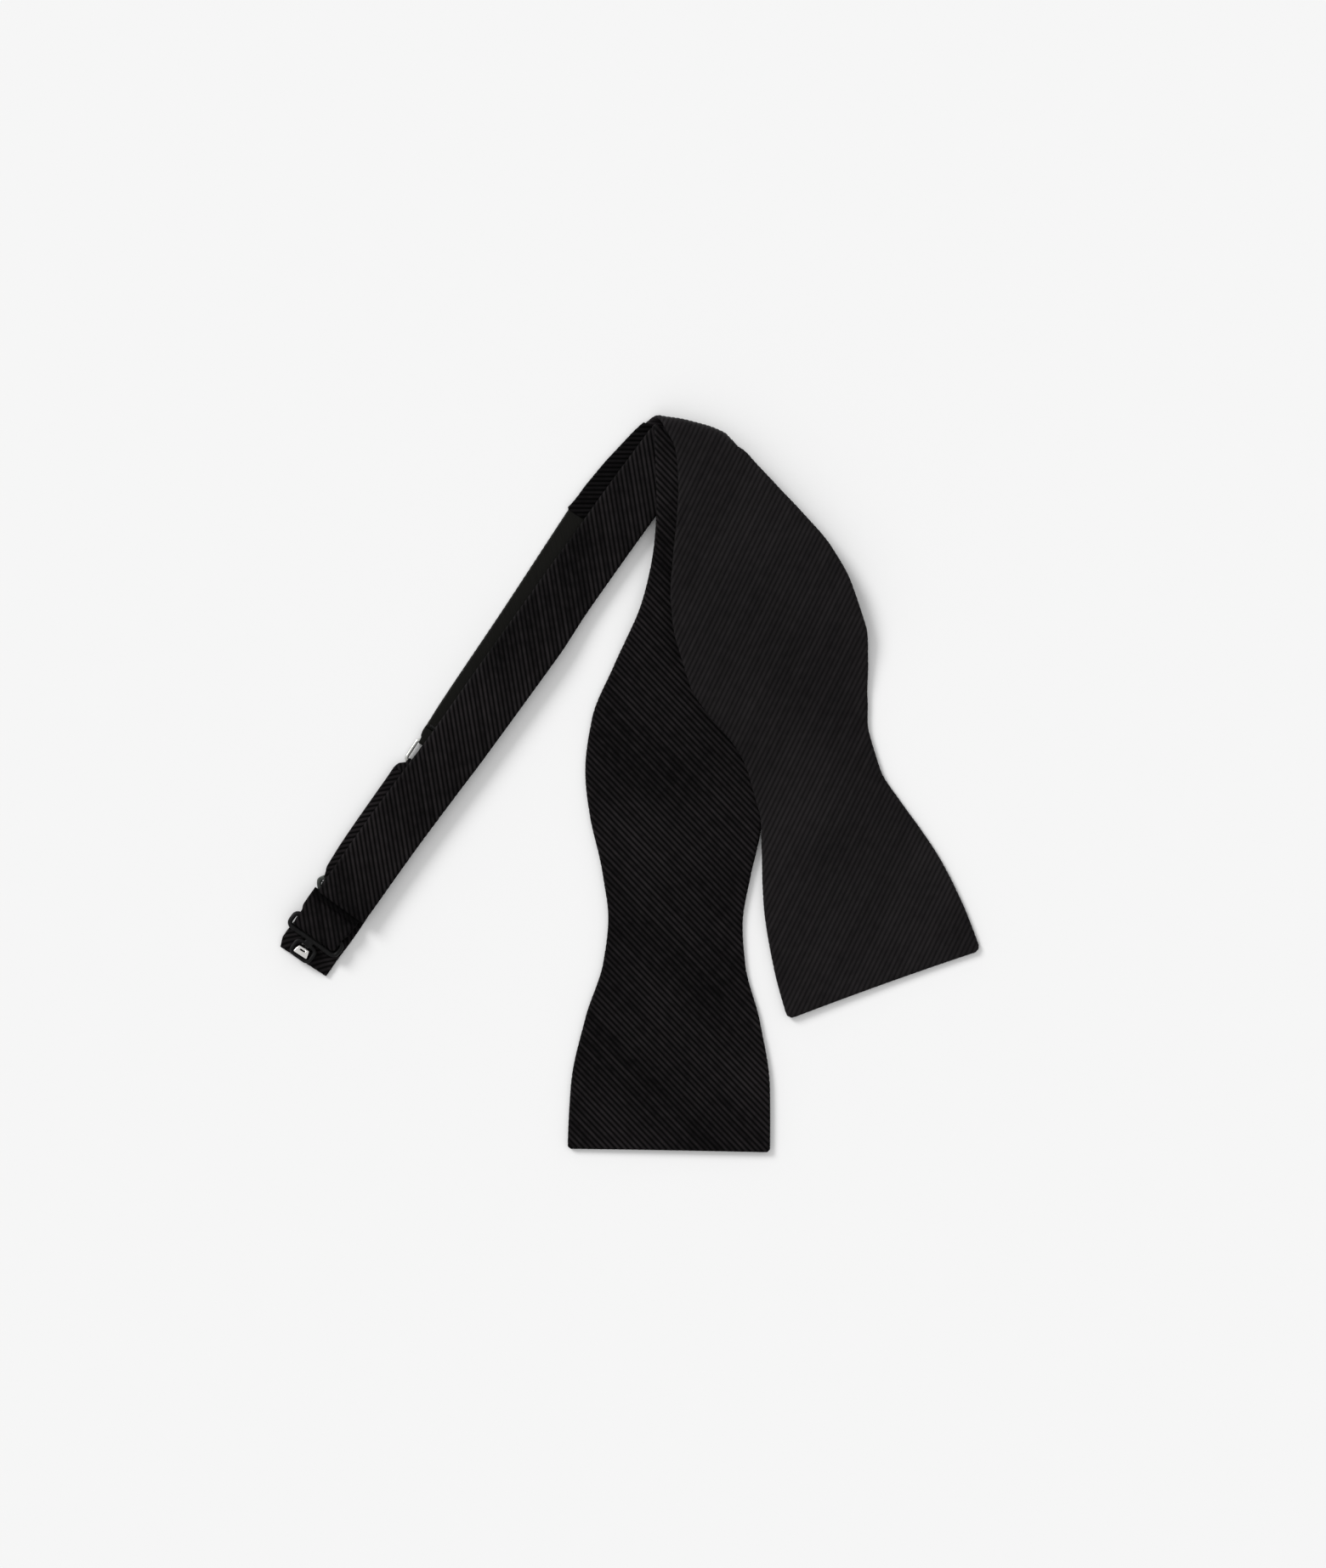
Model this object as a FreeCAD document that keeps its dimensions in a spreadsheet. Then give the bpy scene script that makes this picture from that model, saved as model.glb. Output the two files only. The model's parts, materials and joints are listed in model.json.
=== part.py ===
import FreeCAD, Part
import math
import os
import Sketcher

# A self-tie bow tie of ribbed black cloth, untied, hooked closed and folded flat.
# Millimetres, X to the right, Z up off the table, origin under the middle of the part.
# The rear band, a ribbed stub, a satin tape, a ring and an adjusting strap, lies on the
# table. The front band lies on it, and both bands fold back over themselves at the apex,
# the front one inside the rear one, and widen into the left and the right blade.

V = FreeCAD.Vector

DIMENSIONS = {
    # stacking, bottom to top
    "cloth_thickness": 0.45,
    "interlining_thickness": 0.6,
    "interlining_inset": 1.2,
    "front_band_at_fold": 1.8,
    "front_band_at_hardware": 2.8,
    "left_blade_at_fold": 3.6,
    "right_blade_at_fold": 5.4,
    "right_blade_on_left": 1.8,
    # the two folds at the apex
    "rear_fold_across": 21.38,
    "rear_fold_up": 113.54,
    "rear_fold_angle": -15.5,
    "rear_fold_radius": 2.7,
    "front_fold_across": 16.51,
    "front_fold_up": 113.31,
    "front_fold_angle": -16.5,
    # the blades
    "left_end_across": 12.56,
    "left_end_up": -115.89,
    "right_end_across": 81.71,
    "right_end_up": -62.69,
    "right_blade_sway": 1.3,
    "blade_end_bow": 0.2,
    # the front band, which sets the band line that everything lies along
    "band_line_across": -42.95,
    "band_line_up": 32.42,
    "band_line_angle": 54.35,
    "band_width": 18.1,
    "front_band_mouth": -86.0,
    # the rear band
    "seam_along": 60.7,
    "seam_aside": -7.7,
    "seam_width": 15.6,
    "rear_throat_width": 18.6,
    "tape_width": 15.0,
    "tape_thickness": 0.8,
    "tape_end_along": -24.0,
    "tape_end_aside": -4.3,
    # the ring between the tape and the strap
    "ring_along": -31.2,
    "ring_aside": -3.6,
    "ring_height": 1.2,
    "ring_outer_width": 16.0,
    "ring_outer_length": 9.0,
    "ring_wire": 1.2,
    "ring_fold_width": 12.0,
    # the adjusting strap
    "strap_width": 17.0,
    "strap_thickness": 0.55,
    "strap_upper_height": 1.85,
    "strap_end_along": -107.0,
    "strap_return_end": -81.0,
    # the slider
    "slider_along": -82.5,
    "slider_width": 20.4,
    "slider_length": 11.5,
    "slider_thickness": 1.1,
    "slider_bottom": 0.65,
    "slider_rim": 1.5,
    "slider_bar_width": 1.6,
    # the eye, its tab and the hook
    "tab_width": 16.0,
    "tab_aside": -1.25,
    "tab_thickness": 0.6,
    "tab_top": 4.1,
    "tab_reach": -99.3,
    "tab_seam_end": -90.0,
    "tab_seam_half": 0.2,
    "tab_pocket_start": -90.8,
    "tab_pocket_half": 0.3,
    "tab_taper": 1.5,
    "eye_wire": 1.6,
    "eye_height": 2.6,
    "eye_width": 20.0,
    "eye_aside": -1.3,
    "eye_top_bar": -95.4,
    "eye_low_bar": -100.2,
    "loop_aside": -1.5,
    "loop_reach": -106.9,
    "loop_width": 8.4,
    "loop_wire": 1.3,
    "hook_aside": -1.5,
    "hook_metal": 0.4,
    "hook_base_end": 5.85,
    "hook_bend": 3.45,
    "hook_knee_lean": 0.2,
    "hook_knee_height": 1.9,
    "hook_tip_height": 2.6,
    "tongue_width": 4.6,
    "tongue_length": 2.3,
}

# Half the width of a blade, at distances measured back from its end edge.
BLADE_HALF_WIDTHS = [
    (0.0, 32.5),
    (20.0, 32.2),
    (42.0, 27.9),
    (60.0, 23.0),
    (73.5, 21.7),
    (88.0, 23.5),
    (122.0, 28.9),
    (138.0, 27.1),
    (155.0, 21.3),
    (175.0, 13.4),
]
THROAT_HALF_WIDTHS = [(195.0, 9.7), (210.0, 9.1)]

doc = FreeCAD.newDocument("bow_tie")
sheet = doc.addObject("Spreadsheet::Sheet", "Dimensions")
for row, (alias, value) in enumerate(DIMENSIONS.items(), start=1):
    sheet.set(f"A{row}", alias)
    sheet.set(f"B{row}", str(value))
    sheet.setAlias(f"B{row}", alias)
doc.recompute()

subparts = []


def dim(alias):
    """The value of one cell of the sheet."""
    return float(sheet.get(alias))


def cells(expression):
    """An expression written with bare aliases, made to point at the sheet."""
    for alias in sorted(DIMENSIONS, key=len, reverse=True):
        expression = expression.replace(f"@{alias}@", f"Dimensions.{alias}")
    return expression


def direction(degrees):
    """The unit vector in the plane of the table at this angle from X."""
    return V(math.cos(math.radians(degrees)), math.sin(math.radians(degrees)), 0)


def keep(thing, label, placement):
    """Name a finished sub-part, put it in place and list it for writing."""
    thing.Label = label
    thing.Placement = placement
    subparts.append(thing)
    return thing


def frame_at(point, degrees):
    """A placement whose local X runs from a point of the table at an angle."""
    return FreeCAD.Placement(V(point.x, point.y, 0), FreeCAD.Rotation(V(0, 0, 1), degrees))


def angle_between(start, end):
    return math.degrees(math.atan2(end.y - start.y, end.x - start.x))


# ---- The frames that the pieces are drawn in ----

REAR_FOLD = V(dim("rear_fold_across"), dim("rear_fold_up"), 0)
FRONT_FOLD = V(dim("front_fold_across"), dim("front_fold_up"), 0)
LEFT_END = V(dim("left_end_across"), dim("left_end_up"), 0)
RIGHT_END = V(dim("right_end_across"), dim("right_end_up"), 0)
LEFT_LENGTH = (LEFT_END - FRONT_FOLD).Length
RIGHT_LENGTH = (RIGHT_END - REAR_FOLD).Length

BAND_ANGLE = dim("band_line_angle")
BAND_START = V(dim("band_line_across"), dim("band_line_up"), 0)
ALONG = direction(BAND_ANGLE)
ASIDE = direction(BAND_ANGLE - 90)
BAND = frame_at(BAND_START, BAND_ANGLE)


def on_band(along, aside):
    """A point of the table from its place along and to the right of the band line."""
    return BAND_START + ALONG * along + ASIDE * aside


SEAM = on_band(dim("seam_along"), dim("seam_aside"))
TAPE_END = on_band(dim("tape_end_along"), dim("tape_end_aside"))
RING_CENTRE = on_band(dim("ring_along"), dim("ring_aside"))
STRAP_END = on_band(dim("strap_end_along"), 0)
TAPE_ANGLE = angle_between(TAPE_END, SEAM)
STRAP_ANGLE = angle_between(STRAP_END, RING_CENTRE)
TAPE = frame_at(TAPE_END, TAPE_ANGLE)
RING = frame_at(RING_CENTRE, TAPE_ANGLE)
STRAP = frame_at(STRAP_END, STRAP_ANGLE)
LEFT_BLADE = frame_at(FRONT_FOLD, angle_between(FRONT_FOLD, LEFT_END))
RIGHT_BLADE = frame_at(REAR_FOLD, angle_between(REAR_FOLD, RIGHT_END))


def lean(fold_angle, placement):
    """How far along a piece its fold line runs for each millimetre to the left."""
    line = placement.Rotation.inverted().multVec(direction(fold_angle))
    return line.x / line.y


# An oblique strip that rolls round a fold comes out further along the fold line.
REAR_SLIP = math.pi * dim("rear_fold_radius") * lean(dim("rear_fold_angle"), RIGHT_BLADE)
STUB_END = REAR_FOLD - direction(dim("rear_fold_angle")) * abs(REAR_SLIP)
STUB = frame_at(SEAM, angle_between(SEAM, STUB_END))


# ---- Sketch helpers ----


def new_body(name):
    return doc.addObject("PartDesign::Body", name)


def origin_plane(body, role):
    return next(f for f in body.Origin.OriginFeatures if f.Role == role)


def new_sketch(body, role, name):
    """A sketch on one of a body's own origin planes."""
    sketch = body.newObject("Sketcher::SketchObject", name)
    sketch.AttachmentSupport = (origin_plane(body, role), [""])
    sketch.MapMode = "FlatFace"
    return sketch


def closed_polyline(sketch, points):
    """Straight sides through the points, each corner tied to the next side."""
    first = sketch.GeometryCount
    for start, end in zip(points, points[1:] + points[:1]):
        sketch.addGeometry(Part.LineSegment(V(*start, 0), V(*end, 0)), False)
    tie_ring(sketch, first)


def tie_ring(sketch, first):
    """Join each edge's end to the next edge's start, all the way round."""
    count = sketch.GeometryCount - first
    for k in range(count):
        here = first + k
        after = first + (k + 1) % count
        sketch.addConstraint(Sketcher.Constraint("Coincident", here, 2, after, 1))


def sized_rectangle(sketch, left, low, width, height, cell_names=None):
    """A rectangle, whose width and height may be bound to cells of the sheet."""
    first = sketch.GeometryCount
    right, high = left + width, low + height
    closed_polyline(sketch, [(left, low), (right, low), (right, high), (left, high)])
    for edge in (first, first + 2):
        sketch.addConstraint(Sketcher.Constraint("Horizontal", edge))
    for edge in (first + 1, first + 3):
        sketch.addConstraint(Sketcher.Constraint("Vertical", edge))
    if cell_names:
        across, tall = cell_names
        for label, kind, edge, size, cell in (
            (f"width_{first}", "DistanceX", first, width, across),
            (f"height_{first}", "DistanceY", first + 1, height, tall),
        ):
            place = sketch.addConstraint(Sketcher.Constraint(kind, edge, 1, edge, 2, size))
            sketch.renameConstraint(place, label)
            if cell:
                sketch.setExpression(f"Constraints.{label}", cells(cell))


def pad(body, sketch, length, midplane=False, cell=None):
    feature = body.newObject("PartDesign::Pad", f"{sketch.Name}_pad")
    feature.Profile = sketch
    feature.Length = length
    feature.Midplane = midplane
    if cell:
        feature.setExpression("Length", cells(cell))
    doc.recompute()
    return feature


def pocket_through(body, sketch):
    """Cut the sketch through the whole body, both ways."""
    feature = body.newObject("PartDesign::Pocket", f"{sketch.Name}_pocket")
    feature.Profile = sketch
    feature.Type = "ThroughAll"
    feature.Midplane = True
    doc.recompute()
    return feature


# ---- Cloth: a side view of even thickness, cut to its outline ----

WIDE = 80.0
LONG = 260.0


def side_view(sketch, bottom_line, lift, thickness):
    """A strip of even thickness standing on a line of (along, height) points."""
    under = [(x, height + lift) for x, height in bottom_line]
    over = [(x, height + thickness) for x, height in reversed(under)]
    closed_polyline(sketch, under + over)


def cloth_layer(name, bottom_line, lift, cell, outline, placement):
    """One layer of cloth: its side view made solid, then trimmed to its outline."""
    body = new_body(name)
    side = new_sketch(body, "XZ_Plane", f"{name}_side")
    side_view(side, bottom_line, lift, dim(cell))
    pad(body, side, 2 * WIDE, midplane=True)
    trim = new_sketch(body, "XY_Plane", f"{name}_outline")
    closed_polyline(trim, [(-LONG, -WIDE), (LONG, -WIDE), (LONG, WIDE), (-LONG, WIDE)])
    outline(trim)
    pocket_through(body, trim)
    return keep(body, name, placement)


def lined_cloth(prefix, names, bottom_line, outline, placement):
    """A lined strip: a lower cloth, an interlining inside it and an upper cloth."""
    cloth = dim("cloth_thickness")
    lining = dim("interlining_thickness")
    layers = [
        (names[0], 0.0, "cloth_thickness", 0.0),
        ("interlining", cloth, "interlining_thickness", dim("interlining_inset")),
        (names[1], cloth + lining, "cloth_thickness", 0.0),
    ]
    for name, lift, cell, inset in layers:
        cloth_layer(
            f"{prefix}_{name}",
            bottom_line,
            lift,
            cell,
            lambda sketch, inset=inset: outline(sketch, inset),
            placement,
        )


def quadrilateral_outline(corners):
    """An outline of four corners that can be drawn smaller by an inset."""

    def draw(sketch, inset=0.0):
        middle_x = sum(x for x, _ in corners) / 4
        points = [
            (x + math.copysign(inset, middle_x - x), y - math.copysign(inset, y))
            for x, y in corners
        ]
        closed_polyline(sketch, points)

    return draw


def blade_outline(length, slope, sway=0.0):
    """A blade: fold edge, two curved sides, swayed to the left, and a bowed end edge."""

    def side_points(sign, inset):
        known = [(d, w) for d, w in BLADE_HALF_WIDTHS + THROAT_HALF_WIDTHS]
        points = [(length - d, sign * (w - inset) + sway) for d, w in known]
        points[0] = (length - inset, points[0][1])
        half = 9.4
        for _ in range(6):
            along = slope * sign * half
            half = half_width(length - along)
        corner = (slope * sign * (half - inset) + inset, sign * (half - inset))
        return [p for p in points if p[0] > corner[0] + 6.0] + [corner]

    def draw(sketch, inset=0.0):
        first = sketch.GeometryCount
        upper = side_points(1, inset)
        lower = side_points(-1, inset)
        sketch.addGeometry(curve_through(upper), False)
        sketch.addGeometry(Part.LineSegment(V(*upper[-1], 0), V(*lower[-1], 0)), False)
        sketch.addGeometry(curve_through(lower[::-1]), False)
        tip = V(length - inset + dim("blade_end_bow"), sway, 0)
        arc = Part.Arc(V(*lower[0], 0), tip, V(*upper[0], 0))
        sketch.addGeometry(arc, False)
        tie_ring(sketch, first)

    return draw


def half_width(distance):
    """Half the width of a blade at a distance from its end, read between the points."""
    known = BLADE_HALF_WIDTHS + THROAT_HALF_WIDTHS
    for (near, wide), (far, narrow) in zip(known, known[1:]):
        if near <= distance <= far:
            return wide + (narrow - wide) * (distance - near) / (far - near)
    return known[-1][1]


def curve_through(points):
    """One smooth curve through the points."""
    curve = Part.BSplineCurve()
    curve.interpolate([V(x, y, 0) for x, y in points])
    return curve


# The left blade clears the front band near the fold, then comes down to the table.
lined_cloth(
    "left_blade",
    ("back_cloth", "front_cloth"),
    [
        (-10, dim("left_blade_at_fold")),
        (34, dim("left_blade_at_fold")),
        (74, 0),
        (LEFT_LENGTH + 5, 0),
    ],
    blade_outline(LEFT_LENGTH, lean(dim("front_fold_angle"), LEFT_BLADE)),
    LEFT_BLADE,
)

# The right blade bridges from the fold on to the left blade, and its end lies on the table.
lined_cloth(
    "right_blade",
    ("back_cloth", "front_cloth"),
    [
        (-12, dim("right_blade_at_fold")),
        (76, dim("right_blade_at_fold")),
        (128, dim("right_blade_on_left")),
        (138, dim("right_blade_on_left")),
        (168, 0),
        (RIGHT_LENGTH + 5, 0),
    ],
    blade_outline(
        RIGHT_LENGTH,
        lean(dim("rear_fold_angle"), RIGHT_BLADE),
        dim("right_blade_sway"),
    ),
    RIGHT_BLADE,
)

# The front band rises over the ring and the slider on its way from the fold to its mouth.
FRONT_FOLD_LOCAL = BAND.inverse().multVec(FRONT_FOLD)
FRONT_LEAN = lean(dim("front_fold_angle"), BAND)
HALF_BAND = dim("band_width") / 2


def on_front_fold(left):
    """Where the front fold crosses the band, this far to the left of the band line."""
    return FRONT_FOLD_LOCAL.x + FRONT_LEAN * (left - FRONT_FOLD_LOCAL.y)


lined_cloth(
    "front_band",
    ("lower_cloth", "upper_cloth"),
    [
        (dim("front_band_mouth") - 5, dim("front_band_at_hardware")),
        (14, dim("front_band_at_hardware")),
        (44, dim("front_band_at_fold")),
        (120, dim("front_band_at_fold")),
    ],
    quadrilateral_outline(
        [
            (dim("front_band_mouth"), -HALF_BAND),
            (on_front_fold(-HALF_BAND), -HALF_BAND),
            (on_front_fold(HALF_BAND), HALF_BAND),
            (dim("front_band_mouth"), HALF_BAND),
        ]
    ),
    BAND,
)

# The ribbed stub of the rear band, from its seam with the tape to the rear fold.
STUB_LENGTH = (STUB_END - SEAM).Length
STUB_LEAN = lean(dim("rear_fold_angle"), STUB)
SEAM_LEAN = lean(TAPE_ANGLE + 90, STUB)
HALF_SEAM = dim("seam_width") / 2
HALF_THROAT = dim("rear_throat_width") / 2
lined_cloth(
    "rear_band",
    ("lower_cloth", "upper_cloth"),
    [(-20, 0), (STUB_LENGTH + 20, 0)],
    quadrilateral_outline(
        [
            (-SEAM_LEAN * HALF_SEAM, -HALF_SEAM),
            (STUB_LENGTH - STUB_LEAN * HALF_THROAT, -HALF_THROAT),
            (STUB_LENGTH + STUB_LEAN * HALF_THROAT, HALF_THROAT),
            (SEAM_LEAN * HALF_SEAM, HALF_SEAM),
        ]
    ),
    STUB,
)


# ---- Wrapped ends: a strip that turns back round a bar ----


def wrapped_end(name, bar_x, bar_z, hole, thickness, reach, width, placement, toward):
    """A sleeve of cloth round a bar, whose two flaps run off to one side of it."""
    outer = hole + thickness
    body = new_body(name)
    side = new_sketch(body, "XZ_Plane", f"{name}_side")
    far = bar_x + toward * reach

    def racetrack(radius):
        first = side.GeometryCount
        low, high = bar_z - radius, bar_z + radius
        start, end = (high, low) if toward > 0 else (low, high)
        outermost = V(bar_x - toward * radius, bar_z, 0)
        turn = Part.Arc(V(bar_x, start, 0), outermost, V(bar_x, end, 0))
        side.addGeometry(turn, False)
        side.addGeometry(Part.LineSegment(V(bar_x, low, 0), V(far, low, 0)), False)
        side.addGeometry(Part.LineSegment(V(far, low, 0), V(far, high, 0)), False)
        side.addGeometry(Part.LineSegment(V(far, high, 0), V(bar_x, high, 0)), False)
        tie_loosely(side, first)

    racetrack(outer)
    pad(body, side, width, midplane=True)
    hollow = new_sketch(body, "XZ_Plane", f"{name}_hollow")
    side = hollow
    far = bar_x + toward * (reach + 5)
    racetrack(hole)
    pocket_through(body, hollow)
    return keep(body, name, placement)


def tie_loosely(sketch, first):
    """Join neighbouring edges wherever their ends already meet."""
    ends = []
    for k in range(first, sketch.GeometryCount):
        edge = sketch.Geometry[k]
        ends.append((k, 1, edge.StartPoint))
        ends.append((k, 2, edge.EndPoint))
    for i, (a, at, p) in enumerate(ends):
        for b, bt, q in ends[i + 1 :]:
            if a != b and (p - q).Length < 1e-6:
                sketch.addConstraint(Sketcher.Constraint("Coincident", a, at, b, bt))


# ---- The tape, the ring and the strap ----

RING_HALF = dim("ring_outer_length") / 2 - dim("ring_wire") / 2
RING_HOLE = dim("ring_wire") / 2 + 0.05


def plate(name, x0, x1, width, low, cell, placement, shift=0.0):
    """A flat strip from x0 to x1, centred on its frame's X axis unless shifted."""
    body = new_body(name)
    outline = new_sketch(body, "XY_Plane", f"{name}_outline")
    outline.AttachmentOffset = FreeCAD.Placement(V(0, 0, low), FreeCAD.Rotation())
    sized_rectangle(outline, x0, shift - dim(width) / 2, x1 - x0, dim(width), (None, f"@{width}@"))
    pad(body, outline, dim(cell), cell=f"@{cell}@")
    return keep(body, name, placement)


TAPE_TOP_BAR = TAPE.inverse().multVec(RING.multVec(V(RING_HALF, 0, 0)))
TAPE_LOOP_REACH = 4.5
plate(
    "satin_tape",
    TAPE_TOP_BAR.x + TAPE_LOOP_REACH,
    (SEAM - TAPE_END).Length,
    "tape_width",
    0.0,
    "tape_thickness",
    TAPE,
)
wrapped_end(
    "satin_tape_end_loop",
    TAPE_TOP_BAR.x,
    dim("ring_height"),
    RING_HOLE,
    0.5,
    TAPE_LOOP_REACH,
    dim("ring_fold_width"),
    TAPE,
    1,
)

# The ring: a bent wire rectangle with rounded corners.
HALF_RING_WIDTH = dim("ring_outer_width") / 2 - dim("ring_wire") / 2
RING_CORNER = 1.3


def rounded_rectangle_path(half_x, half_y, radius):
    """The centre line of a bent wire: four straight runs and four corner arcs."""
    edges = []
    turn = radius * (1 - math.sqrt(0.5))
    for sx, sy in ((1, 1), (-1, 1), (-1, -1), (1, -1)):
        on_y = V(sx * half_x, sy * (half_y - radius), 0)
        on_x = V(sx * (half_x - radius), sy * half_y, 0)
        middle = V(sx * (half_x - turn), sy * (half_y - turn), 0)
        start, end = (on_y, on_x) if sx * sy > 0 else (on_x, on_y)
        edges.append((Part.Arc(start, middle, end).toShape(), start, end))
    path = []
    for (arc, _, end), (_, start, _) in zip(edges, edges[1:] + edges[:1]):
        path.append(arc)
        path.append(Part.LineSegment(end, start).toShape())
    return Part.Wire(path)


def bent_wire(path, diameter):
    """A round wire swept along a path that starts on a straight of its loop."""
    edge = path.Edges[0]
    start = edge.valueAt(edge.FirstParameter)
    tangent = edge.tangentAt(edge.FirstParameter)
    circle = Part.Wire(Part.makeCircle(diameter / 2, start, tangent))
    return path.makePipeShell([circle], True, True)


ring = doc.addObject("Part::Feature", "ring")
ring.Shape = bent_wire(
    rounded_rectangle_path(RING_HALF, HALF_RING_WIDTH, RING_CORNER), dim("ring_wire")
)
keep(ring, "ring", RING * FreeCAD.Placement(V(0, 0, dim("ring_height")), FreeCAD.Rotation()))

STRAP_LOW_BAR = STRAP.inverse().multVec(RING.multVec(V(-RING_HALF, 0, 0)))
STRAP_LOOP_REACH = 4.0
FROM_END = -dim("strap_end_along")
wrapped_end(
    "adjusting_strap_ring_fold",
    STRAP_LOW_BAR.x,
    dim("ring_height"),
    RING_HOLE,
    dim("strap_thickness"),
    STRAP_LOOP_REACH,
    dim("ring_fold_width"),
    STRAP,
    -1,
)
plate(
    "adjusting_strap_return",
    FROM_END + dim("strap_return_end"),
    STRAP_LOW_BAR.x - STRAP_LOOP_REACH,
    "strap_width",
    dim("strap_upper_height"),
    "strap_thickness",
    STRAP,
)
STRAP_FOLD_RADIUS = 0.575
HOOK_FLAP_REACH = 8.0
plate(
    "adjusting_strap_run",
    HOOK_FLAP_REACH + STRAP_FOLD_RADIUS,
    STRAP_LOW_BAR.x - STRAP_LOOP_REACH,
    "strap_width",
    0.0,
    "strap_thickness",
    STRAP,
)
wrapped_end(
    "adjusting_strap_hook_fold",
    STRAP_FOLD_RADIUS,
    STRAP_FOLD_RADIUS,
    0.025,
    0.55,
    HOOK_FLAP_REACH,
    dim("strap_width"),
    STRAP,
    1,
)

# ---- The slider: a flat frame with a middle bar, and the strap's sewn end round it ----

SLIDER_X = FROM_END + dim("slider_along")


def slider_frame():
    half_long = dim("slider_length") / 2
    half_wide = dim("slider_width") / 2
    rim = dim("slider_rim")
    bar = dim("slider_bar_width") / 2
    body = new_body("slider")
    outline = new_sketch(body, "XY_Plane", "slider_outline")
    outline.AttachmentOffset = FreeCAD.Placement(V(0, 0, dim("slider_bottom")), FreeCAD.Rotation())
    sized_rectangle(
        outline,
        SLIDER_X - half_long,
        -half_wide,
        2 * half_long,
        2 * half_wide,
        ("@slider_length@", "@slider_width@"),
    )
    slot_long = half_long - rim - bar
    for start in (SLIDER_X - half_long + rim, SLIDER_X + bar):
        sized_rectangle(outline, start, -half_wide + rim, slot_long, 2 * (half_wide - rim))
    plate_pad = pad(body, outline, dim("slider_thickness"), cell="@slider_thickness@")
    corners = [
        f"Edge{k}"
        for k, edge in enumerate(body.Shape.Edges, start=1)
        if upright(edge) and abs(abs(edge.CenterOfMass.y) - half_wide) < 0.01
    ]
    rounded = body.newObject("PartDesign::Fillet", "slider_corners")
    rounded.Base = (plate_pad, corners)
    rounded.Radius = 2.5
    doc.recompute()
    thin_middle_bar(body, bar, half_wide - rim)
    return keep(body, "slider", STRAP)


def upright(edge):
    """Whether an edge runs straight up."""
    run = edge.Vertexes[-1].Point - edge.Vertexes[0].Point
    return abs(run.z) > 0.5 and math.hypot(run.x, run.y) < 1e-6


def thin_middle_bar(body, bar, half_bar):
    """The middle bar is thinner than the rim, so that cloth fits round it."""
    low = dim("slider_bottom")
    high = low + dim("slider_thickness")
    spare = 0.35
    shave = new_sketch(body, "XZ_Plane", "slider_bar_shave")
    for start in (low - 0.1, high - spare):
        sized_rectangle(shave, SLIDER_X - bar - 0.2, start, 2 * bar + 0.4, spare + 0.1)
    feature = body.newObject("PartDesign::Pocket", "slider_bar_pocket")
    feature.Profile = shave
    feature.Length = 2 * half_bar
    feature.Midplane = True
    doc.recompute()


slider_frame()


def slider_wrap():
    """The strap's sewn end: a thin sleeve of cloth round the slider's middle bar."""
    cloth = 0.28
    gap = 0.03
    half_x = dim("slider_bar_width") / 2 + gap + 0.02
    middle_z = dim("slider_bottom") + dim("slider_thickness") / 2
    half_z = dim("slider_thickness") / 2 - 0.35 + gap
    body = new_body("strap_sewn_end")
    side = new_sketch(body, "XZ_Plane", "sewn_end_side")
    for grow in (cloth, 0.0):
        sized_rectangle(
            side,
            SLIDER_X - half_x - grow,
            middle_z - half_z - grow,
            2 * (half_x + grow),
            2 * (half_z + grow),
        )
    pad(body, side, dim("strap_width") - 0.6, midplane=True)
    return keep(body, "adjusting_strap_sewn_end", STRAP)


slider_wrap()

# ---- The tab that comes out of the front band's mouth, and the eye it holds ----


def end_tab():
    """A loop of cloth, sewn shut at the mouth and open round the eye's upper bar."""
    top = dim("tab_top")
    cloth = dim("tab_thickness")
    centre_z = dim("eye_height")
    outer = top - centre_z
    inner = outer - cloth
    turn_x = dim("tab_reach") + outer
    mouth = dim("front_band_mouth") - 0.02
    seam_end = dim("tab_seam_end")
    seam_low = centre_z - dim("tab_seam_half")
    pocket = dim("tab_pocket_start")
    taper = dim("tab_taper")
    body = new_body("end_tab")
    side = new_sketch(body, "XZ_Plane", "end_tab_side")
    add_chain(
        side,
        [(mouth, seam_low), (mouth, top), (turn_x, top)],
        (turn_x - outer, centre_z),
        [(turn_x, centre_z - outer), (seam_end - taper, centre_z - outer), (seam_end, seam_low)],
    )
    add_chain(
        side,
        [
            (pocket, centre_z + dim("tab_pocket_half")),
            (pocket, centre_z + inner),
            (turn_x, centre_z + inner),
        ],
        (turn_x - inner, centre_z),
        [(turn_x, centre_z - inner), (pocket - taper / 2, centre_z - inner)],
    )
    pad(body, side, dim("tab_width"), midplane=True, cell="@tab_width@")
    shifted = FreeCAD.Placement(V(0, -dim("tab_aside"), 0), FreeCAD.Rotation())
    return keep(body, "end_tab", BAND * shifted)


def add_chain(sketch, before, arc_middle, after):
    """A closed outline: straight sides, one arc and straight sides back to the start."""
    first = sketch.GeometryCount
    for start, end in zip(before, before[1:]):
        sketch.addGeometry(Part.LineSegment(V(*start, 0), V(*end, 0)), False)
    sketch.addGeometry(Part.Arc(V(*before[-1], 0), V(*arc_middle, 0), V(*after[0], 0)), False)
    for start, end in zip(after, after[1:] + before[:1]):
        sketch.addGeometry(Part.LineSegment(V(*start, 0), V(*end, 0)), False)
    tie_loosely(sketch, first)


end_tab()


STEM_WIDTH = 2.6


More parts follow.
